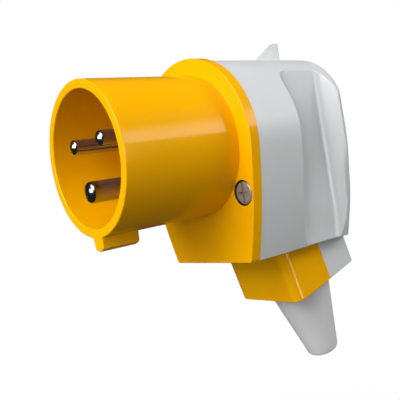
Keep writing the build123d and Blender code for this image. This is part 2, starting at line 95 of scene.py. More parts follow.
def cutWith(obj, tool, operation="DIFFERENCE"):
    mod = obj.modifiers.new("cut", "BOOLEAN")
    mod.operation = operation
    mod.solver = "EXACT"
    mod.object = tool
    applyModifiers(obj)
    bpy.data.objects.remove(tool)
    return obj


def shadeByAngle(obj, angle=40):
    mesh = obj.data
    mesh.shade_smooth()
    bm = bmesh.new()
    bm.from_mesh(mesh)
    for edge in bm.edges:
        edge.smooth = len(edge.link_faces) == 2 and edge.calc_face_angle(0.0) < math.radians(angle)
    bm.to_mesh(mesh)
    bm.free()


def keepFlatFaces(obj):
    # large faces set the shading normals, so that edge rounds don't bleed into them
    weighted = obj.modifiers.new("flatFaces", "WEIGHTED_NORMAL")
    weighted.keep_sharp = True
    applyModifiers(obj)


def bridge(bm, rings):
    # side faces between closed rings, and a flat face at each end
    count = len(rings[0])
    for low, high in zip(rings, rings[1:]):
        for i in range(count):
            k = (i + 1) % count
            bm.faces.new((low[i], low[k], high[k], high[i]))
    bm.faces.new(rings[0])
    bm.faces.new(rings[-1])
    bmesh.ops.recalc_face_normals(bm, faces=bm.faces)


def lathe(bm, profile, segments, place):
    # closed profile of (radius, along) points turned round the axis that place gives
    rings = []
    for radius, along in profile:
        ring = []
        if radius < onAxis:
            v = bm.verts.new(place(0, 0, along))
            ring = [v] * segments
        else:
            for i in range(segments):
                a = 2 * math.pi * i / segments
                ring.append(bm.verts.new(place(radius * math.cos(a), radius * math.sin(a), along)))
        rings.append(ring)
    count = len(rings)
    for j in range(count):
        low, high = rings[j], rings[(j + 1) % count]
        if profile[j][0] < onAxis and profile[(j + 1) % count][0] < onAxis:
            continue
        for i in range(segments):
            k = (i + 1) % segments
            corners = []
            for v in (low[i], low[k], high[k], high[i]):
                if v not in corners:
                    corners.append(v)
            if len(corners) > 2:
                bm.faces.new(corners)


def turned(bm, profile, segments, place):
    # like lathe, but with an open profile and a flat face at each end
    rings = []
    for radius, along in profile:
        rings.append([bm.verts.new(place(radius * math.cos(2 * math.pi * i / segments),
                                         radius * math.sin(2 * math.pi * i / segments), along))
                      for i in range(segments)])
    bridge(bm, rings)


def boxTool(name, low, high):
    bm = bmesh.new()
    bmesh.ops.create_cube(bm, size=1.0)
    size = [b - a for a, b in zip(low, high)]
    middle = [(a + b) / 2 for a, b in zip(low, high)]
    bmesh.ops.scale(bm, vec=size, verts=bm.verts)
    bmesh.ops.translate(bm, vec=middle, verts=bm.verts)
    return newObject(name, bm)


def turnedTool(name, profile, segments, place):
    bm = bmesh.new()
    turned(bm, profile, segments, place)
    return newObject(name, bm)


def prism(name, loop, place, ends):
    # closed section swept between the stations in ends, each (along, inset) with the section drawn in
    bm = bmesh.new()
    rings = []
    for along, inset in ends:
        rings.append([bm.verts.new(place(x, y, along)) for x, y in drawIn(loop, inset)])
    bridge(bm, rings)
    return newObject(name, bm)


def drawIn(loop, inset):
    # the loop with each side moved inwards
    if inset == 0:
        return loop
    n = len(loop)
    area = sum(a[0] * b[1] - b[0] * a[1] for a, b in zip(loop, loop[1:] + loop[:1]))
    side = 1 if area > 0 else -1
    moved = []
    for i in range(n):
        before = Vector(loop[i]) - Vector(loop[i - 1])
        after = Vector(loop[(i + 1) % n]) - Vector(loop[i])
        n0 = Vector((-before.y, before.x)).normalized()
        n1 = Vector((-after.y, after.x)).normalized()
        m = n0 + n1
        length = max(m.length_squared, 0.5)
        moved.append(tuple(Vector(loop[i]) + m * (2 * inset * side / length)))
    return moved


def filletPoints(corner, before, after, radius, steps=5):
    # points of a round between two straight runs of a profile
    p, a, b = Vector(corner), Vector(before), Vector(after)
    u = (a - p).normalized()
    v = (b - p).normalized()
    half = u.angle(v) / 2
    reach = radius / math.tan(half)
    centre = p + (u + v).normalized() * (radius / math.sin(half))
    start = p + u * reach
    end = p + v * reach
    s0 = start - centre
    s1 = end - centre
    sweep = s0.angle(s1)
    points = []
    for i in range(steps + 1):
        t = i / steps
        w0 = math.sin((1 - t) * sweep) / math.sin(sweep)
        w1 = math.sin(t * sweep) / math.sin(sweep)
        points.append(tuple(centre + s0 * w0 + s1 * w1))
    return points


def roundedProfile(points, radii, steps=5):
    n = len(points)
    out = []
    for i in range(n):
        if radii[i] > 0:
            out += filletPoints(points[i], points[i - 1], points[(i + 1) % n], radii[i], steps)
        else:
            out.append(points[i])
    return out


def circleThrough(p, q, r):
    # centre and radius of the circle on three points
    ax, ay = p
    bx, by = q
    cx, cy = r
    a, b, c = (x * x + y * y for x, y in (p, q, r))
    d = 2 * (ax * (by - cy) + bx * (cy - ay) + cx * (ay - by))
    ux = (a * (by - cy) + b * (cy - ay) + c * (ay - by)) / d
    uy = (a * (cx - bx) + b * (ax - cx) + c * (bx - ax)) / d
    return ux, uy, math.hypot(ax - ux, ay - uy)


def arcPoints(p, q, r, steps):
    # points from p through q to r on one circle
    ux, uy, radius = circleThrough(p, q, r)
    a0 = math.atan2(p[1] - uy, p[0] - ux)
    a1 = math.atan2(q[1] - uy, q[0] - ux)
    a2 = math.atan2(r[1] - uy, r[0] - ux)
    turn = (a2 - a0) % (2 * math.pi)
    if (a1 - a0) % (2 * math.pi) > turn:
        turn -= 2 * math.pi
    return [(ux + radius * math.cos(a0 + turn * i / steps), uy + radius * math.sin(a0 + turn * i / steps))
            for i in range(steps + 1)]


def mirrored(points):
    # a right half with its mirror image, as one loop
    return points + [(-x, y) for x, y in reversed(points) if x > onAxis]


# the body outline shared by the flange and the cover
bodyOutline = {"topRadius": 30.49, "tangentZ": -4.0, "bottomZ": -42.2, "bottomHalf": 21.0, "topSteps": 72,
               "flankSteps": 32}
screwPoint = {"x": 22.7, "z": -18.8}  # the right cover screw, mirrored on the left


def sideCurve():
    # centre and radius of the large arc below the round top, and the angle where the two meet
    o = bodyOutline
    a = math.asin(o["tangentZ"] / o["topRadius"])
    px = o["topRadius"] * math.cos(a)
    dx = o["bottomHalf"] - px
    dz = o["bottomZ"] - o["tangentZ"]
    r = -(dx * dx + dz * dz) / (2 * (dx * math.cos(a) + dz * math.sin(a)))
    return px - r * math.cos(a), o["tangentZ"] - r * math.sin(a), r, a


def outlinePoint(angleOrZ, onTop, inset=0.0):
    # point and outward normal of the right half, by angle on the round top, by height below it
    cx, cz, r, a = sideCurve()
    if onTop:
        nx, nz = math.cos(angleOrZ), math.sin(angleOrZ)
        radius = bodyOutline["topRadius"] - inset
        return radius * nx, radius * nz, nx, nz
    z = angleOrZ
    x = cx + math.sqrt((r - inset) ** 2 - (z - cz) ** 2)
    nx, nz = (x - cx) / (r - inset), (z - cz) / (r - inset)
    return x, z, nx, nz


print("shapes ready")

# surface finishes


class Wire:
    # wraps a shader socket, so that maths on patterns reads as plain sums
    def __init__(self, tree, out):
        self.tree = tree
        self.out = out

    def sum(self, operation, other=None, swapped=False):
        node = self.tree.nodes.new("ShaderNodeMath")
        node.operation = operation
        for slot, value in enumerate((other, self) if swapped else (self, other)):
            if isinstance(value, Wire):
                self.tree.links.new(value.out, node.inputs[slot])
            elif value is not None:
                node.inputs[slot].default_value = value
        return Wire(self.tree, node.outputs[0])

    def node(self, kind, inputName, outputName, settings=None, values=None):
        made = self.tree.nodes.new(kind)
        for key, value in (settings or {}).items():
            setattr(made, key, value)
        for key, value in (values or {}).items():
            if isinstance(value, Wire):
                self.tree.links.new(value.out, made.inputs[key])
            else:
                made.inputs[key].default_value = value
        self.tree.links.new(self.out, made.inputs[inputName])
        return Wire(self.tree, made.outputs[outputName])

    def __add__(self, other):
        return self.sum("ADD", other)

    def __radd__(self, other):
        return self.sum("ADD", other, True)

    def __sub__(self, other):
        return self.sum("SUBTRACT", other)

    def __rsub__(self, other):
        return self.sum("SUBTRACT", other, True)

    def __mul__(self, other):
        return self.sum("MULTIPLY", other)

    def __rmul__(self, other):
        return self.sum("MULTIPLY", other, True)

    def __truediv__(self, other):
        return self.sum("DIVIDE", other)

    def __rtruediv__(self, other):
        return self.sum("DIVIDE", other, True)


def coordinates(tree, kind):
    return Wire(tree, tree.nodes.new("ShaderNodeTexCoord").outputs[kind])


def partOf(place, axis):
    # one coordinate of a place
    return place.node("ShaderNodeSeparateXYZ", "Vector", axis)


def around(wire, contrast, middle=0.5):
    # a pattern about one half, with its spread and its middle changed
    return (wire - 0.5) * contrast + middle


def clamp01(wire):
    return wire.sum("MAXIMUM", 0.0).sum("MINIMUM", 1.0)


def noise(place, scale, detail=2.0, roughness=0.5):
    return place.node("ShaderNodeTexNoise", "Vector", 0, None,
                      {"Scale": scale, "Detail": detail, "Roughness": roughness})


def mixColour(tree, factor, first, second):
    node = tree.nodes.new("ShaderNodeMix")
    node.data_type = "RGBA"
    tree.links.new(factor.out, node.inputs[0])
    for slot, value in ((6, first), (7, second)):
        if isinstance(value, Wire):
            tree.links.new(value.out, node.inputs[slot])
        else:
            node.inputs[slot].default_value = (*value, 1.0)
    return Wire(tree, node.outputs[2])


def newFinish(name, constants):
    mat = bpy.data.materials.new(name)
    mat.use_nodes = True
    tree = mat.node_tree
    shader = tree.nodes["Principled BSDF"]
    for key, value in constants.items():
        shader.inputs[key].default_value = value
    return mat, tree, shader, coordinates(tree, "Object")


def connect(tree, wire, shader, name):
    tree.links.new(wire.out, shader.inputs[name])


def addBump(tree, shader, height, strength, distance):
    values = {"Strength": strength, "Distance": distance}
    bump = height.node("ShaderNodeBump", "Height", "Normal", None, values)
    connect(tree, bump, shader, "Normal")


# how steeply a mask turns on: per square metre for an area, per metre for the others
maskEdge = {"area": 1.0e6, "depth": 20000.0, "film": 2000.0}
grainDepth = 0.0001  # metres, of the mould texture
scratchRelief = 0.00005


def mouldedPlastic(name, look):
    # smooth nylon: faint flow marks in the colour, a trace of mould texture in the gloss
    mat, tree, shader, place = newFinish(name, {"IOR": look["ior"], "Specular IOR Level": look["specular"]})
    flow = noise(place, look["flowScale"], detail=3.0, roughness=0.55)
    speck = noise(place, look["speckScale"])
    tone = clamp01(around(flow, look["flowContrast"]))
    colour = mixColour(tree, tone, look["dark"], look["light"])
    if "recessPaintedShade" in look:
        # painted shade in the two screw recesses, a dark ring in the colour, both at once by the square of
        # x
        x0, z0 = screwPoint["x"] * unit, screwPoint["z"] * unit
        r, y0 = look["recessR"] * unit, look["recessY"] * unit
        x, y, z = (partOf(place, axis) for axis in "XYZ")
        aside = (x * x - x0 * x0) * (0.5 / x0)
        apart = aside * aside + (z - z0) * (z - z0)
        inside = clamp01((r * r - apart) * maskEdge["area"]) * clamp01((y - y0) * maskEdge["depth"])
        colour = mixColour(tree, inside, colour, look["recessPaintedShade"])
    connect(tree, colour, shader, "Base Color")
    connect(tree, around(speck, look["roughSpread"], look["roughness"]), shader, "Roughness")
    addBump(tree, shader, noise(place, look["grainScale"]), look["grain"], grainDepth)
    return mat


def metalFinish(name, look):
    # plated or turned metal: cloudy tone and fine wear scratches along the part
    mat, tree, shader, place = newFinish(name, {"Metallic": look["metallic"]})
    cloud = noise(place, look["cloudScale"], detail=3.0, roughness=0.6)
    stretched = place.node("ShaderNodeMapping", "Vector", "Vector", None, {"Scale": look["stretch"]})
    scratch = noise(stretched, look["scratchScale"], roughness=0.6)
    tone = clamp01(around(cloud, look["cloudContrast"]))
    if "tipY" in look:
        # bare metal on the rounded tips, a trace of film behind them
        behind = clamp01((partOf(place, "Y") - look["tipY"] * unit) * maskEdge["film"])
        connect(tree, 1 - behind * (1 - look["metallic"]), shader, "Metallic")
    connect(tree, mixColour(tree, tone, look["dark"], look["light"]), shader, "Base Color")
    connect(tree, clamp01(around(scratch, look["roughSpread"], look["roughness"])), shader, "Roughness")
    addBump(tree, shader, scratch, look["scratchDepth"], scratchRelief)
    return mat


def rubberFinish(name, look):
    # soft moulding: matt skin with a fine dull grain
    mat, tree, shader, place = newFinish(name, {"IOR": look["ior"], "Specular IOR Level": look["specular"]})
    cloud = noise(place, look["cloudScale"], detail=3.0)
    grain = noise(place, look["grainScale"], roughness=0.6)
    tone = clamp01(around(cloud, look["cloudContrast"]))
    connect(tree, mixColour(tree, tone, look["dark"], look["light"]), shader, "Base Color")
    connect(tree, around(grain, look["roughSpread"], look["roughness"]), shader, "Roughness")
    addBump(tree, shader, grain, look["grain"], grainDepth)
    return mat


yellowPlastic = mouldedPlastic("yellowNylon", {
    "dark": (0.90, 0.415, 0.0), "light": (0.96, 0.455, 0.0), "flowScale": 28.0, "flowContrast": 1.4,
    # painted shade: a dark ring painted into the colour inside the two screw recesses
    "recessR": 4.45, "recessY": 43.05, "recessPaintedShade": (0.1, 0.055, 0.02),
    "roughness": 0.13, "roughSpread": 0.04, "speckScale": 420.0, "grainScale": 900.0, "grain": 0.03,
    "ior": 1.5, "specular": 0.22})
greyPlastic = mouldedPlastic("greyNylon", {
    "dark": (0.60, 0.61, 0.615), "light": (0.655, 0.665, 0.67), "flowScale": 24.0, "flowContrast": 1.2,
    "roughness": 0.36, "roughSpread": 0.08, "speckScale": 420.0, "grainScale": 1100.0, "grain": 0.04,
    "ior": 1.5, "specular": 0.3})
carrierPlastic = mouldedPlastic("carrierBlack", {
    "dark": (0.035, 0.025, 0.02), "light": (0.05, 0.04, 0.03), "flowScale": 60.0, "flowContrast": 1.5,
    "roughness": 0.45, "roughSpread": 0.1, "speckScale": 500.0, "grainScale": 900.0, "grain": 0.1,
    "ior": 1.5, "specular": 0.4})
pinPlating = metalFinish("pinPlating", {
    "metallic": 0.92, "tipY": 1.9, "dark": (0.33, 0.32, 0.33), "light": (0.42, 0.41, 0.42),
    "cloudScale": 140.0, "cloudContrast": 1.6, "stretch": (1.0, 0.06, 1.0), "scratchScale": 900.0,
    "scratchDepth": 0.04, "roughness": 0.11, "roughSpread": 0.08})
screwSteel = metalFinish("screwNickel", {
    "metallic": 0.45, "dark": (0.36, 0.30, 0.26), "light": (0.48, 0.41, 0.35),
    "cloudScale": 420.0, "cloudContrast": 1.6, "stretch": (1.0, 1.0, 1.0), "scratchScale": 1500.0,
    "scratchDepth": 0.15, "roughness": 0.3, "roughSpread": 0.2})
insertBrass = metalFinish("turnedBrass", {
    "metallic": 1.0, "dark": (0.62, 0.43, 0.18), "light": (0.74, 0.54, 0.25),
    "cloudScale": 200.0, "cloudContrast": 1.6, "stretch": (1.0, 8.0, 1.0), "scratchScale": 700.0,
    "scratchDepth": 0.1, "roughness": 0.3, "roughSpread": 0.12})
bootRubber = rubberFinish("greyBoot", {
    "dark": (0.69, 0.695, 0.695), "light": (0.735, 0.74, 0.74), "cloudScale": 40.0, "cloudContrast": 1.5,
    "grainScale": 1300.0, "grain": 0.06, "roughness": 0.5, "roughSpread": 0.12, "ior": 1.5,
    "specular": 0.4})
sealRubber = rubberFinish("blackSeal", {
    "dark": (0.012, 0.012, 0.012), "light": (0.02, 0.02, 0.02), "cloudScale": 90.0, "cloudContrast": 1.5,
    "grainScale": 1300.0, "grain": 0.1, "roughness": 0.6, "roughSpread": 0.12, "ior": 1.5,
    "specular": 0.4})

finishes = {"yellow_plastic": yellowPlastic, "grey_plastic": greyPlastic, "carrier_plastic": carrierPlastic,
            "pin_plating": pinPlating, "screw_steel": screwSteel, "insert_brass": insertBrass,
            "boot_rubber": bootRubber, "seal_rubber": sealRubber}


def dress(obj, slotName, *nodes):
    # finish, body and the nodes of the solid model that the piece stands for
    obj.data.materials.clear()
    obj.data.materials.append(finishes[slotName])
    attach(obj, "root")
    if nodes:
        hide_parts(*nodes)
    return obj


print("finishes ready")

# front shell: shroud, key rib and flange plate

frontShell = {"innerR": 22.0, "outerR": 25.0, "rimRound": 0.45, "floorY": 38.0, "floorBack": 41.0,
              "floorHoleR": 17.0, "floorRound": 0.6, "holeRound": 0.3, "tubeInset": 0.6,
              "flangeFront": 43.0, "flangeBack": 47.0, "edge": 0.35, "backEdge": 0.12, "segments": 192,
              "bottomCorner": 1.0, "topRise": 0.4, "counterboreR": 4.25, "counterboreDepth": 2.6,
              "counterboreEdge": 0.15, "screwHoleR": 2.2, "boreClearance": 0.01, "toolBefore": 1.0,
              "toolBeyond": 3.0}
keyRib = {"length": 13.8, "rootHalf": 3.2, "tipHalf": 2.6, "rootZ": -23.6, "tipZ": -29.25, "shoulder": 0.9,
          "frontRound": 0.35, "endRound": 1.1}


def alongY(u, v, along):
    return (u, along, v)


def quarterTurn(steps):
    # shares of an edge's radius, (along, inset), from the full inset to the full section
    turns = [math.pi / 2 * i / steps for i in range(steps, -1, -1)]
    return [(1 - math.sin(t), 1 - math.cos(t)) for t in turns]


def outlineLoop(corner):
    # whole body outline as a loop of (x, z), from the top round the right side
    o = bodyOutline
    a = sideCurve()[3]
    top, flank, low = o["topSteps"], o["flankSteps"], o["bottomZ"]
    half = [outlinePoint(interpolate(math.pi / 2, a, i / top), True)[:2] for i in range(top + 1)]
    meet = half[-1][1]
    for i in range(1, flank):
        z = interpolate(meet, low, i / flank)
        if z > low + corner:
            half.append(outlinePoint(z, False)[:2])
    half += filletPoints((outlinePoint(low, False)[0], low), half[-1], (0.0, low), corner)
    return mirrored(half)


def makeFrontShell():
    s = frontShell
    bm = bmesh.new()
    tubeEnd = s["flangeBack"] - s["tubeInset"]
    tube = roundedProfile(
        [(s["floorHoleR"], s["floorY"]), (s["innerR"], s["floorY"]), (s["innerR"], 0.0), (s["outerR"], 0.0),
         (s["outerR"], tubeEnd), (s["innerR"], tubeEnd), (s["innerR"], s["floorBack"]),
         (s["floorHoleR"], s["floorBack"])],
        [s["holeRound"], s["floorRound"], s["rimRound"], s["rimRound"], 0, 0, 0, s["holeRound"]], 6)
    lathe(bm, tube, s["segments"], alongY)
    closeUp(bm)
    shell = newObject("frontShell", bm)

    top = bodyOutline["topRadius"]
    loop = [(x, z + s["topRise"] * max(z, 0.0) / top) for x, z in outlineLoop(s["bottomCorner"])]
    front, back, e = s["flangeFront"], s["flangeBack"], s["edge"]
    stations = [(front + e * a, e * b) for a, b in quarterTurn(3)]
    stations += [(back - s["backEdge"], 0.0), (back, s["backEdge"])]
    flange = prism("flangePlate", loop, alongY, stations)

    toolFrom, toolTo = front - s["toolBefore"], back + s["toolBeyond"]
    boreR = s["innerR"] + s["boreClearance"]
    cutWith(flange, turnedTool("bore", [(boreR, toolFrom), (boreR, toolTo)], s["segments"], alongY))
    r, edge, seat = s["counterboreR"], s["counterboreEdge"], front + s["counterboreDepth"]
    hole = [(r + 2 * edge, toolFrom), (r + edge, front), (r, front + edge), (r, seat),
            (s["screwHoleR"], seat), (s["screwHoleR"], toolTo)]
    for side in (-1, 1):
        cutWith(flange, turnedTool("screwHole", hole, 64, lambda u, v, along: (
            side * screwPoint["x"] + u, along, screwPoint["z"] + v)))

    k = keyRib
    section = [(-k["rootHalf"], k["rootZ"]), (k["rootHalf"], k["rootZ"])]
    section += arcPoints((k["tipHalf"], k["tipZ"] + k["shoulder"]), (0, k["tipZ"]),
                         (-k["tipHalf"], k["tipZ"] + k["shoulder"]), 12)
    f, r = k["frontRound"], k["endRound"]
    stations = [(f * a, f * b) for a, b in quarterTurn(2)]
    stations += [(k["length"] - r * a, r * b) for a, b in reversed(quarterTurn(3))]
    cutWith(shell, prism("keyRib", section, alongY, stations), "UNION")
    cutWith(shell, flange, "UNION")
    shadeByAngle(shell, angle=35)
    keepFlatFaces(shell)
    return dress(shell, "yellow_plastic", "front_shell")


makeFrontShell()
print("front shell done")

# pins

pins = {"circleR": 10.35, "domeHeight": 0.5, "rootY": 37.5, "rootEdge": 0.2, "grooveDepth": 0.6,
        "grooveWidth": 1.0, "shankExtra": 0.3, "shankEnd": 56.0, "barrelEnd": 68.0, "wireHoleR": 1.7,
        "wireHoleDepth": 7.0, "tipSteps": 8, "segments": 72}
earthSize = {"r": 3.5, "tip": -0.9, "round": 1.2, "barrelR": 4.6}
lineSize = {"r": 2.5, "tip": 0.8, "round": 0.95, "barrelR": 3.9}
pinSet = {"earthPin": {"node": "earth_pin", "angle": -90, **earthSize},
          "linePinLeft": {"node": "line_pin_left", "angle": 150, **lineSize},
          "linePinRight": {"node": "line_pin_right", "angle": 30, **lineSize}}


def makePin(name, p):
    x0 = pins["circleR"] * math.cos(math.radians(p["angle"]))
    z0 = pins["circleR"] * math.sin(math.radians(p["angle"]))

    def place(u, v, along):
        return (x0 + u, along, z0 + v)

    # low dome in the middle of the tip, then the round that runs into the rod
    steps = pins["tipSteps"]
    flat = p["r"] - p["round"]
    domeR = (flat * flat + pins["domeHeight"] ** 2) / (2 * pins["domeHeight"])
    profile = []
    for i in range(steps + 1):
        r = flat * i / steps
        profile.append((r, p["tip"] + domeR - math.sqrt(domeR * domeR - r * r)))
    slope = math.asin(flat / domeR)
    cy = profile[-1][1] + p["round"] * math.cos(slope)
    cr = flat - p["round"] * math.sin(slope)
    scale = (p["r"] - cr) / p["round"]
    for i in range(1, steps + 1):
        t = interpolate(slope, math.pi / 2, i / steps)
        profile.append((cr + p["round"] * scale * math.sin(t), cy - p["round"] * math.cos(t)))
    root, edge = pins["rootY"], pins["rootEdge"]
    grooveR, grooveEnd = p["r"] - pins["grooveDepth"], root + pins["grooveWidth"]
    shank = p["r"] + pins["shankExtra"]
    end = pins["barrelEnd"]
    holeEnd = end - pins["wireHoleDepth"]
    profile += [(p["r"], root - edge), (p["r"] - edge, root), (grooveR, root), (grooveR, grooveEnd),
                (shank, grooveEnd), (shank, pins["shankEnd"]), (p["barrelR"], pins["shankEnd"]),
                (p["barrelR"], end), (pins["wireHoleR"], end), (pins["wireHoleR"], holeEnd), (0, holeEnd)]
    bm = bmesh.new()
    lathe(bm, profile, pins["segments"], place)
    closeUp(bm)
    obj = newObject(name, bm)
    shadeByAngle(obj, angle=30)
    return dress(obj, "pin_plating", p["node"])


for pinName, pinSizes in pinSet.items():
    makePin(pinName, pinSizes)
print("pins done")

# rear cover with finger pockets

rearCover = {"front": 47.0, "back": 103.0, "backBulge": 60.0, "lean": 1.8, "straightZ": -6.0,
             "topBackRound": 5.0, "lowBackRound": 0.7, "backRoundZ": (-34.0, -8.0),
             "limitX": 28.0, "limitRound": 6.0, "limitFrom": 60.0, "blend": 0.6, "topDrop": 0.35,
             "wallY": 67.0, "frontRound": 6.5, "frontBow": (0.29, 0.36), "frontReach": 1.25,
             "floorX": 21.1, "lowPocket": 0.7, "lowPocketZ": (-28.0, -42.0), "foldReach": 2.7,
             "creaseHalf": 15.0, "waist": 1.4, "waistZ": -19.0, "waistSpan": 8.5, "waistY": (91.0, 94.0),
             "wall": 3.0, "stepY": 64.0, "innerX": 18.7, "rearWall": 5.2, "clearance": 0.4,
             "bottomEdge": 0.35, "wallSteps": 12, "cornerSteps": 17, "bendSteps": 12, "floorSteps": 10,
             "rearSteps": 92, "backSteps": 40}
# plan of the pocket's rise to the rear crest as (x, y), at three heights
pocketSections = {
    35.5: {"fold": 91.5, "rise": (24.2, 92.1), "ridge": (26.6, 92.7), "crest": (28.6, 93.6),
           "corner": (30.6, 95.0), "leave": (32.0, 96.7)},
    -12.0: {"fold": 90.7, "rise": (24.1, 91.9), "ridge": (25.9, 92.7), "crest": (27.7, 93.4),
            "corner": (28.6, 95.3), "leave": (27.3, 99.4)},
    -47.2: {"fold": 88.8, "rise": (21.4, 90.4), "ridge": (21.5, 91.3), "crest": (21.2, 92.4),
            "corner": (18.6, 95.8), "leave": (13.9, 99.4)}}


def ramp(value, ends):
    # 0 before the first end, 1 past the second, soft between
    return smoothStep((value - ends[0]) / (ends[1] - ends[0]))


def blendSection(z, top, mid, low):
    # straight above and below the middle section, with a soft bend between
    zs = sorted(pocketSections, reverse=True)
    h = rearCover["creaseHalf"]
    up = (top - mid) / (zs[0] - zs[1])
    down = (mid - low) / (zs[1] - zs[2])
    u = z - zs[1]
    if u > h:
        return mid + up * u
    if u < -h:
        return mid + down * u
    return mid + up * (u + h) ** 2 / (4 * h) - down * (h - u) ** 2 / (4 * h)


def sectionAt(z):
    # the pocket's plan at one height
    zs = sorted(pocketSections, reverse=True)
    top, mid, low = (pocketSections[k] for k in zs)
    out = {"fold": blendSection(z, top["fold"], mid["fold"], low["fold"])}
    for key in ("rise", "ridge", "crest", "corner", "leave"):
        out[key] = tuple(blendSection(z, top[key][i], mid[key][i], low[key][i]) for i in range(2))
    return out


def leanAt(z):
    # how far the back leans in towards the bottom
    c = rearCover
    span = c["straightZ"] - bodyOutline["bottomZ"]
    t = max(0.0, min(1.0, (c["straightZ"] - z) / span))
    return c["lean"] * t * t


def backY(x, z):
    # the bulged back, cut by its leaning plane
    c = rearCover
    bulged = c["back"] - (c["backBulge"] - math.sqrt(c["backBulge"] ** 2 - x * x))
    lean = leanAt(z)
    return softMin(bulged, c["back"] - lean, max(0.01, min(0.6, 2 * lean)))


def lookUp(table, y):
    # x at height y of a run of (x, y) points that climbs in y
    if y <= table[0][1]:
        return table[0][0]
    for (x0, y0), (x1, y1) in zip(table, table[1:]):
        if y <= y1:
            return interpolate(x0, x1, (y - y0) / max(y1 - y0, 1e-9))
    return table[-1][0] + (y - table[-1][1]) * 0.125


def limitTable():
    # plan of the rear body beyond the pockets: straight flank, round corner, bulged back
    c = rearCover
    half, r, big = c["limitX"], c["limitRound"], c["backBulge"]
    centreX = half - r
    inner = big - r
    centreY = c["back"] - big + math.sqrt(inner * inner - centreX * centreX)
    points = [(half, c["limitFrom"]), (half, centreY)]
    end = math.atan2(centreY - (c["back"] - big), centreX)
    for i in range(1, 13):
        t = end * i / 12
        points.append((centreX + r * math.cos(t), centreY + r * math.sin(t)))
    x1 = points[-1][0]
    for i in range(1, 25):
        x = x1 * (1 - i / 24)
        points.append((x, c["back"] - big + math.sqrt(big * big - x * x)))
    return points


limitPoints = limitTable()


def pocketTable(z, floorX):
    # outside of the pocket as (x, y) points that climb in y, and the y where it leaves the floor
    s = sectionAt(z)
    corner = (floorX, s["fold"])
    # a soft hollow where the floor turns into the rise, equally long where the turn is slight
    reach = min(rearCover["foldReach"], 0.9 * math.dist(corner, s["rise"]))
    turn = math.atan2(s["rise"][0] - floorX, s["rise"][1] - s["fold"])
    onFloor = (floorX, s["fold"] - 1.0)
    first = filletPoints(corner, onFloor, s["rise"], reach / math.tan(turn / 2), 10)
    first += arcPoints(s["rise"], s["ridge"], s["crest"], 14)
    second = arcPoints(s["crest"], s["corner"], s["leave"], 14)
    table = [first[0]]
    for p in first[1:] + second[1:]:
        if p[1] > table[-1][1] + 1e-4:
            table.append(p)
    return table, table[0][1]


def backRounding(x, z, nx):
    # where the round between flank and back starts, and its radius: full on top, slight low down
    c = rearCover
    r = interpolate(c["lowBackRound"], c["topBackRound"], ramp(z, c["backRoundZ"]))
    tilt = math.atan(x / math.sqrt(c["backBulge"] ** 2 - x * x) * nx)
    return backY(x, z) - r * math.tan((math.pi / 2 - tilt) / 2), r


def insetAt(y, rounding):
    # how far the back's round draws the outline in
    start, r = rounding
    t = min(max(y - start, 0.0), r)
    return r - math.sqrt(r * r - t * t)


def resample(points, count):
    # the same run in equal steps of its length
    length = [0.0]
    for a, b in zip(points, points[1:]):
        length.append(length[-1] + math.dist(a, b))
    out = []
    j = 0
    for i in range(count + 1):
        want = length[-1] * i / count
        while j < len(length) - 2 and length[j + 1] < want:
            j += 1
        f = (want - length[j]) / max(length[j + 1] - length[j], 1e-9)
        out.append(tuple(interpolate(a, b, f) for a, b in zip(points[j], points[j + 1])))
    return out


def coverPath(x, z, nx, nz):
    # one run of the outside, from the front edge round the pocket to the middle of the back
    c = rearCover
    floorX = c["floorX"] - c["lowPocket"] * ramp(z, c["lowPocketZ"])
    r, wallY, steps = c["frontRound"], c["wallY"], c["cornerSteps"]
    seatY = wallY + c["frontReach"] * r
    bow = (floorX + c["frontBow"][0] * r, wallY + c["frontBow"][1] * r)
    arc = arcPoints((floorX + r, wallY), bow, (floorX, seatY), 24)
    table, fold = pocketTable(z, floorX)
    drawnIn = c["waist"] * math.exp(-((z - c["waistZ"]) / c["waistSpan"]) ** 2)
    if x <= floorX:
        corner = (x, seatY)
        front = [corner] * steps
    elif x >= floorX + r:
        corner = (x, wallY)
        bend = c["bendSteps"]
        flat = steps - bend
        front = resample([corner, arc[0]], flat)[:flat] + resample(arc, bend)[:bend]
    else:
        # the outline meets the pocket on its rounded front corner
        k = next(i for i in range(24) if arc[i + 1][0] <= x)
        t = (arc[k][0] - x) / max(arc[k][0] - arc[k + 1][0], 1e-9)
        corner = (x, interpolate(arc[k][1], arc[k + 1][1], t))
        front = resample([corner] + arc[k + 1:], steps)[:steps]
    points = []
    for i in range(c["wallSteps"]):
        share = 1 - (1 - i / c["wallSteps"]) ** 1.6  # closer towards the pocket
        points.append((x, interpolate(c["front"], corner[1], share), z))
    points += [(px, py, z) for px, py in front]
    innerX = min(x, floorX)
    points += [(innerX, interpolate(seatY, fold, i / c["floorSteps"]), z) for i in range(c["floorSteps"])]

    # rear part: the outline, the pocket's rise and the rounded rear body, whichever lies inside
    rounding = backRounding(x, z, nx)
    dense = []
    y = fold
    while True:
        inset = insetAt(y, rounding)
        px = softMin(lookUp(table, y), lookUp(limitPoints, y), c["blend"]) - drawnIn * ramp(y, c["waistY"])
        px = softMin(px, x - inset * nx, c["blend"] * ramp(px - floorX, (-0.2, 2.8)) + 0.05)
        if px < 0 or y >= backY(px, z) - 0.015:
            break
        dense.append((px, y, z - inset * nz))
        y += 0.1
    lastX, lastY, lastZ = dense[-1]
    endZ = z - rounding[1] * nz
    for i in range(1, c["backSteps"] + 1):
        px = lastX * (1 - i / c["backSteps"])
        dense.append((px, max(backY(px, z), lastY), interpolate(lastZ, endZ, min(1.0, i / 10))))
    points += resample(dense, c["rearSteps"])
    return [(px, py, pz - c["topDrop"] * max(pz, 0.0) / bodyOutline["topRadius"]) for px, py, pz in points]


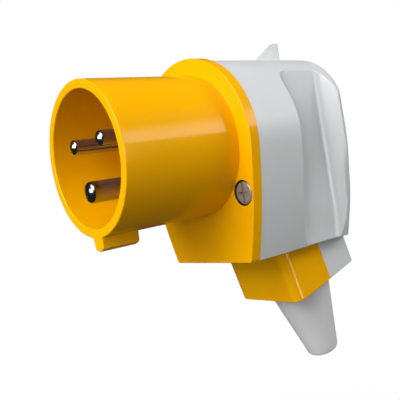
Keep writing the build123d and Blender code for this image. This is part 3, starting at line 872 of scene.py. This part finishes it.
def insidePath(x, z):
    # one run of the inside wall, from the middle of the back to the front edge
    c = rearCover
    x1 = min(x, c["innerX"])
    y1 = c["back"] - c["rearWall"] - c["clearance"]
    points = [(x1 * t, y1, z) for t in (0.0, 0.35, 0.7, 0.95)]
    points += [(x1, y1, z), (x1, y1 - 1.0, z)]
    points += [(x1, interpolate(y1, c["stepY"], t), z) for t in (0.3, 0.6, 0.95, 1.0)]
    points += [(x, c["stepY"], z), (x, interpolate(c["stepY"], c["front"], 0.5), z)]
    points += [(x, c["front"] + 0.3, z), (x, c["front"], z)]
    return points


def coverRows():
    # stations down the half outline, closer where the pocket starts
    a = sideCurve()[3]
    meet = math.acos(rearCover["floorX"] / bodyOutline["topRadius"])
    rows = [(interpolate(math.pi / 2, meet + 0.03, i / 36), True) for i in range(37)]
    rows += [(meet + t, True) for t in (0.02, 0.01, 0.003, -0.003, -0.01, -0.02)]
    rows += [(interpolate(meet - 0.03, a, i / 48), True) for i in range(49)]
    top = bodyOutline["topRadius"] * math.sin(a)
    low = bodyOutline["bottomZ"] + rearCover["bottomEdge"]
    rows += [(interpolate(top, low, i / 52), False) for i in range(1, 53)]
    return rows


def coverShell():
    # half of the cover as one grid of runs down the outline, mirrored, with flat faces closing it below
    c = rearCover
    bottom = bodyOutline["bottomZ"]
    bm = bmesh.new()
    grid = []
    for station, onTop in coverRows():
        x, z, nx, nz = outlinePoint(station, onTop)
        if onTop:
            xi, zi = outlinePoint(station, True, c["wall"])[:2]
        else:
            share = (z - bodyOutline["tangentZ"]) / (bottom + c["bottomEdge"] - bodyOutline["tangentZ"])
            zi = interpolate(z, bottom + c["wall"], max(0.0, share) ** 3)
            xi = outlinePoint(zi, False, c["wall"])[0]
        grid.append((insidePath(max(xi, 0.0), zi), coverPath(max(x, 0.0), z, nx, nz)))
    inside, outside = grid[-1]
    for t in (math.pi / 6, math.pi / 3, math.pi / 2):
        # the bottom edge turns under by drawing the last run inwards
        e = c["bottomEdge"]
        inset, drop = e * (1 - math.cos(t)), e * math.sin(t)
        flat = drawIn([(0.0, outside[0][1])] + [(p[0], p[1]) for p in outside], inset)[1:]
        flat[0] = (flat[0][0], outside[0][1])
        flat[-1] = (0.0, flat[-2][1])
        run = [(max(q[0], 0.0), q[1], interpolate(p[2], bottom, drop / e)) for p, q in zip(outside, flat)]
        grid.append((inside, run))
    rows = [[bm.verts.new(p) for p in a + b] for a, b in grid]
    for above, below in zip(rows, rows[1:]):
        for i in range(len(above) - 1):
            bm.faces.new((above[i], above[i + 1], below[i + 1], below[i]))
    bmesh.ops.remove_doubles(bm, verts=bm.verts, dist=seamMerge)
    bmesh.ops.mirror(bm, geom=bm.verts[:] + bm.edges[:] + bm.faces[:], matrix=Matrix.Identity(4),
                     merge_dist=seamMerge, axis="X")
    bmesh.ops.remove_doubles(bm, verts=bm.verts, dist=seamMerge)
    inside, outside = grid[-1]
    for loop in (inside, outside, [inside[-1], outside[0]]):
        whole = loop + [(-p[0], p[1], p[2]) for p in reversed(loop) if p[0] > seamMerge / 2]
        corners = [p for i, p in enumerate(whole) if math.dist(p, whole[i - 1]) > seamMerge]
        bm.faces.new([bm.verts.new(p) for p in corners])
    bmesh.ops.remove_doubles(bm, verts=bm.verts, dist=seamMerge)
    bmesh.ops.recalc_face_normals(bm, faces=bm.faces)
    return newObject("rearCover", bm)


screwBoss = {"r": 4.4, "length": 11.0, "insertR": 3.05, "insertLength": 7.1, "holeR": 2.15,
             "holeDepth": 10.2, "toolBefore": 1.0, "segments": 48}
neckHole = {"clearance": 0.15, "from": 2.0, "to": -34.0}


def makeRearCover():
    cover = coverShell()
    b = screwBoss
    front = rearCover["front"]
    for side in (-1, 1):
        def atScrew(u, v, along, side=side):
            return (side * screwPoint["x"] + u, front + along, screwPoint["z"] + v)
        boss = [(b["r"], 0.0), (b["r"], b["length"])]
        cutWith(cover, turnedTool("boss", boss, b["segments"], atScrew), "UNION")
        hole = [(b["insertR"], -b["toolBefore"]), (b["insertR"], b["insertLength"]),
                (b["holeR"], b["insertLength"]), (b["holeR"], b["holeDepth"])]
        cutWith(cover, turnedTool("bossHole", hole, b["segments"], atScrew))
    ends = [(neckHole["from"], 0.0), (neckHole["to"], 0.0)]
    cutWith(cover, prism("neckHole", neckSection(neckHole["clearance"]), alongNeck, ends))
    addLatchNose(cover)
    shadeByAngle(cover, angle=40)
    return dress(cover, "grey_plastic", "rear_cover")


# neck halves, tilted backwards

neck = {"tilt": 15.0, "frontY": 68.2, "frontZ": -62.1, "depth": 33.4, "top": -31.0,
        "halfWidth": 16.3, "bulge": 0.2, "frontMore": 1.1, "frontRound": 4.2, "rearRound": 1.0,
        "pastRound": 0.6, "edge": 0.4, "seam": 17.9, "seamGap": 0.02, "seamEdge": 0.1,
        "bootR": 12.65, "bootEdge": 0.2, "bootSeat": -3.0, "flangeR": 13.55, "flangeTop": -6.0,
        "sealR": 11.05, "sealTop": -13.0, "upperR": 6.5, "boreTop": -45.0,
        "collarTop": -35.2, "collarLow": -39.2, "collarHalf": 18.0, "collarFront": 58.99,
        "collarRear": 89.99, "postHalf": 11.5, "postFront": 69.0, "postRear": 77.0, "postTop": -26.2,
        "postFoot": 0.5, "grooveR": 4.2, "clampScrewX": 8.2, "clampScrewZ": -30.7, "clampScrewR": 1.32,
        "screwX": 11.0, "screwAlong": -15.5, "screwR": 1.3, "screwHeadR": 2.1, "screwSeat": 31.3,
        "screwDepth": 9.0, "screwOut": 45.0}


def alongNeck(x, depth, along):
    # a place in the tilted neck: depth from its front face backwards, along its length downwards
    t = math.radians(neck["tilt"])
    return (x, neck["frontY"] + depth * math.cos(t) + along * math.sin(t),
            neck["frontZ"] + depth * math.sin(t) - along * math.cos(t))


def neckSide(grow, d0, d1):
    # right side of the neck section as (x, depth), between two depths, with its rounded corners
    n = neck

    def side(d):
        return n["halfWidth"] + grow + n["bulge"] * (1 - (2 * d / n["depth"] - 1) ** 2)

    points = []
    if d0 <= 0:
        front = -grow - n["frontMore"]
        points += [(0.0, front)]
        points += filletPoints((side(front), front), (0.0, front), (side(5), 5.0), n["frontRound"], 8)
        d0 = front + n["frontRound"] + n["pastRound"]
    last = n["depth"] - n["rearRound"] - n["pastRound"] if d1 >= n["depth"] else d1
    points += [(side(interpolate(d0, last, i / 8)), interpolate(d0, last, i / 8)) for i in range(9)]
    if d1 >= n["depth"]:
        low = n["depth"] + grow
        points += filletPoints((side(n["depth"]), low), (side(n["depth"] - 3), low - 3.0), (0.0, low),
                               n["rearRound"], 5)
        points.append((0.0, low))
    return points


def neckSection(grow):
    return mirrored(neckSide(grow, 0.0, neck["depth"]))


def glandSection(front, grow):
    # one gland half, its seam edges broken by a hair
    n = neck
    e = n["seamEdge"]
    if front:
        seam = n["seam"] - n["seamGap"]
        side = neckSide(grow, 0.0, seam - e)
        return mirrored(side + [(side[-1][0] - e, seam), (0.0, seam)])
    seam = n["seam"] + n["seamGap"]
    side = neckSide(grow, seam + e, n["depth"])
    return mirrored([(0.0, seam), (side[0][0] - e, seam)] + side)


def makeGland(name, front, slotName, node):
    n = neck
    centre = n["depth"] / 2
    e = n["edge"]
    bm = bmesh.new()
    rings = []
    for along, inset in [(-e * a, e * b) for a, b in quarterTurn(3)] + [(n["top"], 0.0)]:
        rings.append([bm.verts.new(alongNeck(x, d, along)) for x, d in glandSection(front, -inset)])
    bridge(bm, rings)
    gland = newObject(name, bm)

    # inside the cover the neck ends flat, with a collar on the cover's bottom and the post of the clamp;
    # the cutting tools reach well past the piece
    cutWith(gland, boxTool("cap", (-45, 40, n["collarTop"]), (45, 130, 0)))
    collar = boxTool("collar", (-n["collarHalf"], n["collarFront"], n["collarLow"]),
                     (n["collarHalf"], n["collarRear"], n["collarTop"]))
    # a tool that takes the other half's side off the collar
    beyond, aside = (60.0, 30.0) if front else (-40.0, 30.0)
    seam = n["seam"] + (-n["seamGap"] if front else n["seamGap"])
    loop = [(-aside, seam), (aside, seam), (aside, beyond), (-aside, beyond)]
    cutWith(collar, prism("otherHalf", loop, alongNeck, [(5.0, 0.0), (-50.0, 0.0)]))
    cutWith(gland, collar, "UNION")
    lip = n["bootEdge"]
    bores = [(n["bootR"] + 3 * lip, 0.5), (n["bootR"] + lip, 0.0), (n["bootR"], -lip),
             (n["bootR"], n["bootSeat"]), (n["flangeR"], n["bootSeat"]), (n["flangeR"], n["flangeTop"]),
             (n["sealR"], n["flangeTop"]), (n["sealR"], n["sealTop"]), (n["upperR"], n["sealTop"]),
             (n["upperR"], n["boreTop"])]
    cutWith(gland, turnedTool("neckBore", bores, 96, lambda u, v, along: alongNeck(u, centre + v, along)))
    if front:
        post = boxTool("post", (-n["postHalf"], n["postFront"], n["collarTop"] - n["postFoot"]),
                       (n["postHalf"], n["postRear"], n["postTop"]))
        groove = [(n["grooveR"], -60.0), (n["grooveR"], 0.0)]
        cutWith(post, turnedTool("groove", groove, 48, lambda u, v, along: (u, n["postRear"] + v, along)))
        hole = [(n["clampScrewR"], n["postFront"] + 1.0), (n["clampScrewR"], n["postRear"] + 3.0)]
        for side in (-1, 1):
            cutWith(post, turnedTool("clampHole", hole, 24, lambda u, v, along: (
                side * n["clampScrewX"] + u, along, n["clampScrewZ"] + v)))
        cutWith(gland, post, "UNION")
    hole = [(n["screwR"], n["seam"] - n["screwDepth"]), (n["screwR"], n["screwSeat"]),
            (n["screwHeadR"], n["screwSeat"]), (n["screwHeadR"], n["screwOut"])]
    for side in (-1, 1):
        cutWith(gland, turnedTool("screwHole", hole, 32, lambda u, v, along: alongNeck(
            side * n["screwX"] + u, along, n["screwAlong"] + v)))
    shadeByAngle(gland, angle=35)
    keepFlatFaces(gland)
    return dress(gland, slotName, node)


makeGland("glandFront", True, "yellow_plastic", "gland_front")
makeGland("glandRear", False, "grey_plastic", "gland_rear")
print("neck done")

latchNose = {"half": 1.0, "frontY": 80.2, "topFrontY": 92.4, "rearY": 94.8, "topZ": 38.0, "footZ": 30.3,
             "rootZ": 28.5, "rootMore": 0.6, "edge": 0.15}


def addLatchNose(cover):
    # thin fin that a socket lid hooks behind, joined to the cover's top
    n = latchNose
    loop = [(n["frontY"] - n["rootMore"], n["rootZ"]), (n["frontY"], n["footZ"]),
            (n["topFrontY"], n["topZ"]), (n["rearY"], n["topZ"]), (n["rearY"], n["rootZ"])]
    h, e, part = n["half"], n["edge"], n["edge"] * 0.3
    stations = [(-h, e), (-h + part, part), (-h + e, 0.0), (h - e, 0.0), (h - part, part), (h, e)]
    cutWith(cover, prism("latchNose", loop, lambda y, z, x: (x, y, z), stations), "UNION")


makeRearCover()
print("rear cover done")

# cable boot

boot = {"r": 12.6, "tipR": 6.15, "length": 32.1, "tipRound": 1.5, "holeR": 4.0, "holeRound": 0.5,
        "flangeR": 13.5, "flangeH": 3.0, "flangeRound": 0.3, "neckH": 3.0, "segments": 128,
        "taperRings": 20}


def makeBoot():
    b = boot
    centre = neck["depth"] / 2
    top, edge = -b["neckH"] - b["flangeH"], b["flangeRound"]
    profile = roundedProfile(
        [(b["holeR"], top), (b["flangeR"], top), (b["flangeR"], -b["neckH"]), (b["r"], -b["neckH"]),
         (b["r"], 0.0), (b["tipR"], b["length"]), (b["holeR"], b["length"])],
        [edge, edge, edge, 0, 0, b["tipRound"], b["holeRound"]], 7)
    # extra rings along the taper keep the shading even, up to where the tip's round starts
    after = profile.index((b["r"], 0.0)) + 1
    rings = b["taperRings"]
    taper = [(interpolate(b["r"], b["tipR"], i / rings), b["length"] * i / rings)
             for i in range(1, rings - 2)]
    profile = profile[:after] + taper + profile[after:]
    bm = bmesh.new()
    lathe(bm, profile, b["segments"], lambda u, v, along: alongNeck(u, centre + v, along))
    closeUp(bm)
    obj = newObject("cableBoot", bm)
    shadeByAngle(obj, angle=40)
    return dress(obj, "boot_rubber", "cable_boot")


makeBoot()
print("boot done")

# cover screws, placed by a node tree on the two screw points

coverScrew = {"frontY": 43.2, "headR": 3.85, "headH": 1.9, "bevel": 0.8, "crown": 0.1, "shankR": 2.0,
              "length": 10.0, "pointBevel": 0.5, "slotHalf": 0.45, "slotDepth": 0.8, "slotReach": 6.0,
              "crossHalf": 2.2, "crossHalfHeight": 0.42, "crossDepth": 1.1, "toolOut": 2.0}


def makeScrewShape():
    # one screw standing at the origin, head towards -Y, with an upright slot and a short recess across it
    s = coverScrew
    headR, bevel, point, out = s["headR"], s["bevel"], s["pointBevel"], s["toolOut"]
    end = s["headH"] + s["length"]
    profile = [(headR - bevel - s["crown"], 0.0)]
    profile += [(headR - bevel * a, bevel * b) for a, b in quarterTurn(6)[-2::-1]]
    profile += [(headR, s["headH"]), (s["shankR"], s["headH"]), (s["shankR"], end - point),
                (s["shankR"] - point, end)]
    screw = turnedTool("screwShape", profile, 64, alongY)
    half, high = s["slotHalf"], s["slotReach"]
    cutWith(screw, boxTool("slot", (-half, -out, -high), (half, s["slotDepth"], high)))
    half, wide = s["crossHalfHeight"], s["crossHalf"]
    cutWith(screw, boxTool("cross", (-wide, -out, -half), (wide, s["crossDepth"], half)))
    return screw


def makeCoverScrews():
    shape = makeScrewShape()
    tree = bpy.data.node_groups.new("screwsOnFlange", "GeometryNodeTree")
    for name, kind in (("Screw", "Object"), ("Spacing", "Float"), ("Height", "Float"), ("Seat", "Float"),
                       ("Finish", "Material")):
        tree.interface.new_socket(name, in_out="INPUT", socket_type="NodeSocket" + kind)
    tree.interface.new_socket("Geometry", in_out="OUTPUT", socket_type="NodeSocketGeometry")
    add, link = tree.nodes.new, tree.links.new
    entry = add("NodeGroupInput")
    line = add("GeometryNodeMeshLine")
    line.mode = "END_POINTS"
    line.inputs["Count"].default_value = 2
    minus = add("ShaderNodeMath")
    minus.operation = "MULTIPLY"
    minus.inputs[1].default_value = -1.0
    start, end = add("ShaderNodeCombineXYZ"), add("ShaderNodeCombineXYZ")
    link(entry.outputs["Spacing"], minus.inputs[0])
    link(minus.outputs[0], start.inputs[0])
    link(entry.outputs["Spacing"], end.inputs[0])
    for point in (start, end):
        link(entry.outputs["Seat"], point.inputs[1])
        link(entry.outputs["Height"], point.inputs[2])
    link(start.outputs[0], line.inputs["Start Location"])
    link(end.outputs[0], line.inputs["Offset"])
    info = add("GeometryNodeObjectInfo")
    link(entry.outputs["Screw"], info.inputs["Object"])
    place = add("GeometryNodeInstanceOnPoints")
    link(line.outputs["Mesh"], place.inputs["Points"])
    link(info.outputs["Geometry"], place.inputs["Instance"])
    real = add("GeometryNodeRealizeInstances")
    paint = add("GeometryNodeSetMaterial")
    leave = add("NodeGroupOutput")
    link(place.outputs["Instances"], real.inputs["Geometry"])
    link(real.outputs["Geometry"], paint.inputs["Geometry"])
    link(entry.outputs["Finish"], paint.inputs["Material"])
    link(paint.outputs["Geometry"], leave.inputs["Geometry"])

    holder = bpy.data.objects.new("coverScrews", bpy.data.meshes.new("coverScrews"))
    bpy.context.scene.collection.objects.link(holder)
    mod = holder.modifiers.new("screws", "NODES")
    mod.node_group = tree
    sockets = {item.name: item.identifier for item in tree.interface.items_tree if item.in_out == "INPUT"}
    mod[sockets["Screw"]] = shape
    mod[sockets["Spacing"]] = screwPoint["x"] * unit
    mod[sockets["Height"]] = screwPoint["z"] * unit
    mod[sockets["Seat"]] = coverScrew["frontY"] * unit
    mod[sockets["Finish"]] = finishes["screw_steel"]
    applyModifiers(holder)
    bpy.data.objects.remove(shape)
    shadeByAngle(holder, angle=35)
    return dress(holder, "screw_steel", "cover_screws")


makeCoverScrews()
print("cover screws done")

# the carried-over inner pieces keep their solids and get the same finishes

slotOfNode = {row["node"]: row["material_slot"] for row in frame["record"]["subparts"]}
for nodeName in frame["nodes"]:
    node = bpy.data.objects.get(nodeName)
    if node is None or nodeName not in slotOfNode:
        continue
    finish = finishes[slotOfNode[nodeName]]
    if len(node.material_slots) == 0:
        node.data.materials.append(finish)
    for slot in node.material_slots:
        slot.material = finish
print("inner pieces painted")

# floor, backdrop light and camera

studio = {"floorY": 50.0, "floorZ": -300.0, "floorSize": 6000.0, "floorTone": (0.12, 0.12, 0.12),
          "floorSeen": (0.95, 0.95, 0.95), "floorRoughness": 0.9, "shadowKept": 0.25, "fadeStart": 0.3,
          "fadeEnd": 0.6, "skyTop": (0.33, 0.33, 0.33), "skyLow": (0.1, 0.1, 0.1), "skyTurn": 2.0}
white = (1.0, 1.0, 1.0, 1.0)


def seenDirectly(tree):
    # camera, glossy and transmission rays, which meet the plain white of the backdrop
    path = tree.nodes.new("ShaderNodeLightPath")
    camera, glossy, through = (Wire(tree, path.outputs[f"Is {kind} Ray"])
                               for kind in ("Camera", "Glossy", "Transmission"))
    return clamp01(camera + glossy + through)


def mixShaders(tree, factor, first, second, target):
    mix = tree.nodes.new("ShaderNodeMixShader")
    tree.links.new(factor.out, mix.inputs[0])
    tree.links.new(first.outputs[0], mix.inputs[1])
    tree.links.new(second.outputs[0], mix.inputs[2])
    tree.links.new(mix.outputs[0], target.inputs["Surface"])


def makeFloor():
    # white where it is seen, keeping the shadow around the object, and dull for the light it sends back
    s = studio
    bm = bmesh.new()
    bmesh.ops.create_grid(bm, x_segments=8, y_segments=8, size=s["floorSize"] / 2)
    bmesh.ops.translate(bm, vec=(0, s["floorY"], s["floorZ"]), verts=bm.verts)
    floor = newObject("floor", bm)
    mat = bpy.data.materials.new("paleFloor")
    mat.use_nodes = True
    tree = mat.node_tree
    shader = tree.nodes["Principled BSDF"]
    shader.inputs["Roughness"].default_value = s["floorRoughness"]
    shader.inputs["Specular IOR Level"].default_value = 0.0
    seen = seenDirectly(tree)
    connect(tree, mixColour(tree, seen, s["floorTone"], s["floorSeen"]), shader, "Base Color")
    level = {"operation": "MULTIPLY"}
    flat = coordinates(tree, "Object").node("ShaderNodeVectorMath", 0, 0, level, {1: (1.0, 1.0, 0.0)})
    away = flat.node("ShaderNodeVectorMath", 0, "Value", {"operation": "LENGTH"})
    fade = clamp01((away - s["fadeStart"]) / (s["fadeEnd"] - s["fadeStart"]))
    glow = tree.nodes.new("ShaderNodeEmission")
    glow.inputs["Color"].default_value = white
    glow.inputs["Strength"].default_value = 1.0
    glowing = seen * (1 - s["shadowKept"] + fade * s["shadowKept"])
    mixShaders(tree, glowing, shader, glow, tree.nodes["Material Output"])
    floor.data.materials.append(mat)


def makeWorld():
    # plain grey sky that lights the object, white where it is seen
    s = studio
    world = bpy.data.worlds.new("studioWorld")
    bpy.context.scene.world = world
    world.use_nodes = True
    tree = world.node_tree
    tree.nodes.clear()
    height = partOf(coordinates(tree, "Generated"), "Z")
    sky = mixColour(tree, clamp01(height * s["skyTurn"] + 0.5), s["skyLow"], s["skyTop"])
    dim = tree.nodes.new("ShaderNodeBackground")
    tree.links.new(sky.out, dim.inputs["Color"])
    bright = tree.nodes.new("ShaderNodeBackground")
    bright.inputs["Color"].default_value = white
    mixShaders(tree, seenDirectly(tree), dim, bright, tree.nodes.new("ShaderNodeOutputWorld"))


def direction(azimuth, elevation):
    # azimuth 0 is +X and turns towards +Y
    a, e = math.radians(azimuth), math.radians(elevation)
    return Vector((math.cos(e) * math.cos(a), math.cos(e) * math.sin(a), math.sin(e)))


target = Vector((0.0, 0.05, -0.01))  # metres, inside the object


def aimed(obj, sizes):
    # set where the sizes say, facing the target
    away = direction(sizes["azimuth"], sizes["elevation"]) * sizes["distance"]
    obj.location = target + away
    obj.rotation_euler = (-away).to_track_quat("-Z", "Y").to_euler()


# azimuth and elevation in degrees, the other sizes in metres
lamps = {"key": {"azimuth": -80, "elevation": 34, "distance": 1.1, "width": 1.1, "height": 0.7,
                 "power": 14.2, "inGloss": True},
         "front": {"azimuth": -60, "elevation": 3, "distance": 1.15, "width": 0.5, "height": 0.5,
                   "power": 3.5, "inGloss": False},
         "side": {"azimuth": 58, "elevation": 30, "distance": 1.2, "width": 0.6, "height": 0.5,
                  "power": 7.8, "inGloss": False}}


def makeLamps():
    for name, lamp in lamps.items():
        data = bpy.data.lights.new(name + "Light", "AREA")
        data.shape = "RECTANGLE"
        data.size = lamp["width"]
        data.size_y = lamp["height"]
        data.energy = lamp["power"]
        obj = bpy.data.objects.new(name + "Light", data)
        bpy.context.scene.collection.objects.link(obj)
        aimed(obj, lamp)
        obj.visible_glossy = lamp["inGloss"]


# cards seen only in reflections: bright panels for the streaks, a dull tent and table card around them
cards = {"streakPanel": {"azimuth": 41.0, "elevation": 20.5, "distance": 0.95, "width": 0.62,
                         "height": 0.34, "glow": 5.4, "fade": 1.6},
         "crestPanel": {"azimuth": 14.0, "elevation": 3.0, "distance": 1.0, "width": 0.4, "height": 0.5,
                        "glow": 16.0, "fade": 1.6},
         "pinPanel": {"azimuth": -104.0, "elevation": 22.0, "distance": 1.0, "width": 0.52, "height": 0.8,
                      "glow": 5.5, "fade": 1.4},
         "cornerPanel": {"azimuth": 7.0, "elevation": -25.5, "distance": 0.5, "width": 0.15, "height": 0.15,
                         "glow": 12.0, "fade": 1.2},
         "tableCard": {"azimuth": 0.0, "elevation": -90.0, "distance": 0.26, "width": 3.6, "height": 3.6,
                       "glow": 0.03, "fade": 0.0},
         "tent": {"radius": 1.5, "openBelow": -0.29, "backAzimuth": 142.0, "backHalf": 30.0, "backTop": 1.0,
                  "glow": 0.03, "fade": 0.0}}


def makeCard(name, card):
    bm = bmesh.new()
    if "radius" in card:
        # a round tent, open below and with a gap behind
        bmesh.ops.create_uvsphere(bm, u_segments=48, v_segments=24, radius=card["radius"])
        below = [v for v in bm.verts if v.co.z < card["openBelow"]]
        bmesh.ops.delete(bm, geom=below, context="VERTS")
        behind = direction(card["backAzimuth"], 0.0)
        gap = []
        for face in bm.faces:
            middle = face.calc_center_median()
            low = middle.z < card["radius"] * math.sin(math.radians(card["backTop"]))
            flat = Vector((middle.x, middle.y, 0.0))
            if low and flat.angle(behind) < math.radians(card["backHalf"]):
                gap.append(face)
        bmesh.ops.delete(bm, geom=gap, context="FACES")
        sheet = newObject(name, bm, factor=1.0)
        sheet.location = target
    else:
        bmesh.ops.create_grid(bm, x_segments=1, y_segments=1, size=0.5)
        uv = bm.loops.layers.uv.verify()
        for face in bm.faces:
            for loop in face.loops:
                loop[uv].uv = (loop.vert.co.x + 0.5, loop.vert.co.y + 0.5)
        bmesh.ops.scale(bm, vec=(card["width"], card["height"], 1.0), verts=bm.verts)
        sheet = newObject(name, bm, factor=1.0)
        aimed(sheet, card)
    mat = bpy.data.materials.new(name + "Glow")
    mat.use_nodes = True
    tree = mat.node_tree
    tree.nodes.clear()
    glow = tree.nodes.new("ShaderNodeEmission")
    glow.inputs["Strength"].default_value = card["glow"]
    if card["fade"]:
        # dimmer towards the top edge
        rise = partOf(coordinates(tree, "UV"), "Y")
        tree.links.new((clamp01((1 - rise) * card["fade"]) * card["glow"]).out, glow.inputs["Strength"])
    out = tree.nodes.new("ShaderNodeOutputMaterial")
    tree.links.new(glow.outputs[0], out.inputs["Surface"])
    sheet.data.materials.append(mat)
    sheet.visible_camera = False
    sheet.visible_diffuse = False
    sheet.visible_shadow = False
    sheet.visible_transmission = False


# fitted to the rim, the bore and the pins of the photo
view = {"place": (163.875, -83.349, -14.298), "right": (0.6033, 0.7792, -0.1700),
        "up": (0.0856, 0.1487, 0.9852), "lens": 51.962, "sensor": 36.0, "clip": (0.01, 50.0)}


def makeCamera():
    data = bpy.data.cameras.new("photoCamera")
    data.lens = view["lens"]
    data.sensor_width = view["sensor"]
    data.sensor_fit = "HORIZONTAL"
    data.clip_start, data.clip_end = view["clip"]
    camera = bpy.data.objects.new("photoCamera", data)
    bpy.context.scene.collection.objects.link(camera)
    right = Vector(view["right"]).normalized()
    up = Vector(view["up"])
    back = right.cross(up).normalized()
    up = back.cross(right).normalized()
    turn = Matrix((right, up, back)).transposed().to_4x4()
    camera.matrix_world = Matrix.Translation(Vector(view["place"]) * unit) @ turn
    bpy.context.scene.camera = camera


makeFloor()
makeWorld()
makeLamps()
for cardName, cardSizes in cards.items():
    makeCard(cardName, cardSizes)
makeCamera()
bpy.context.scene.view_settings.view_transform = "Standard"
print("studio ready")
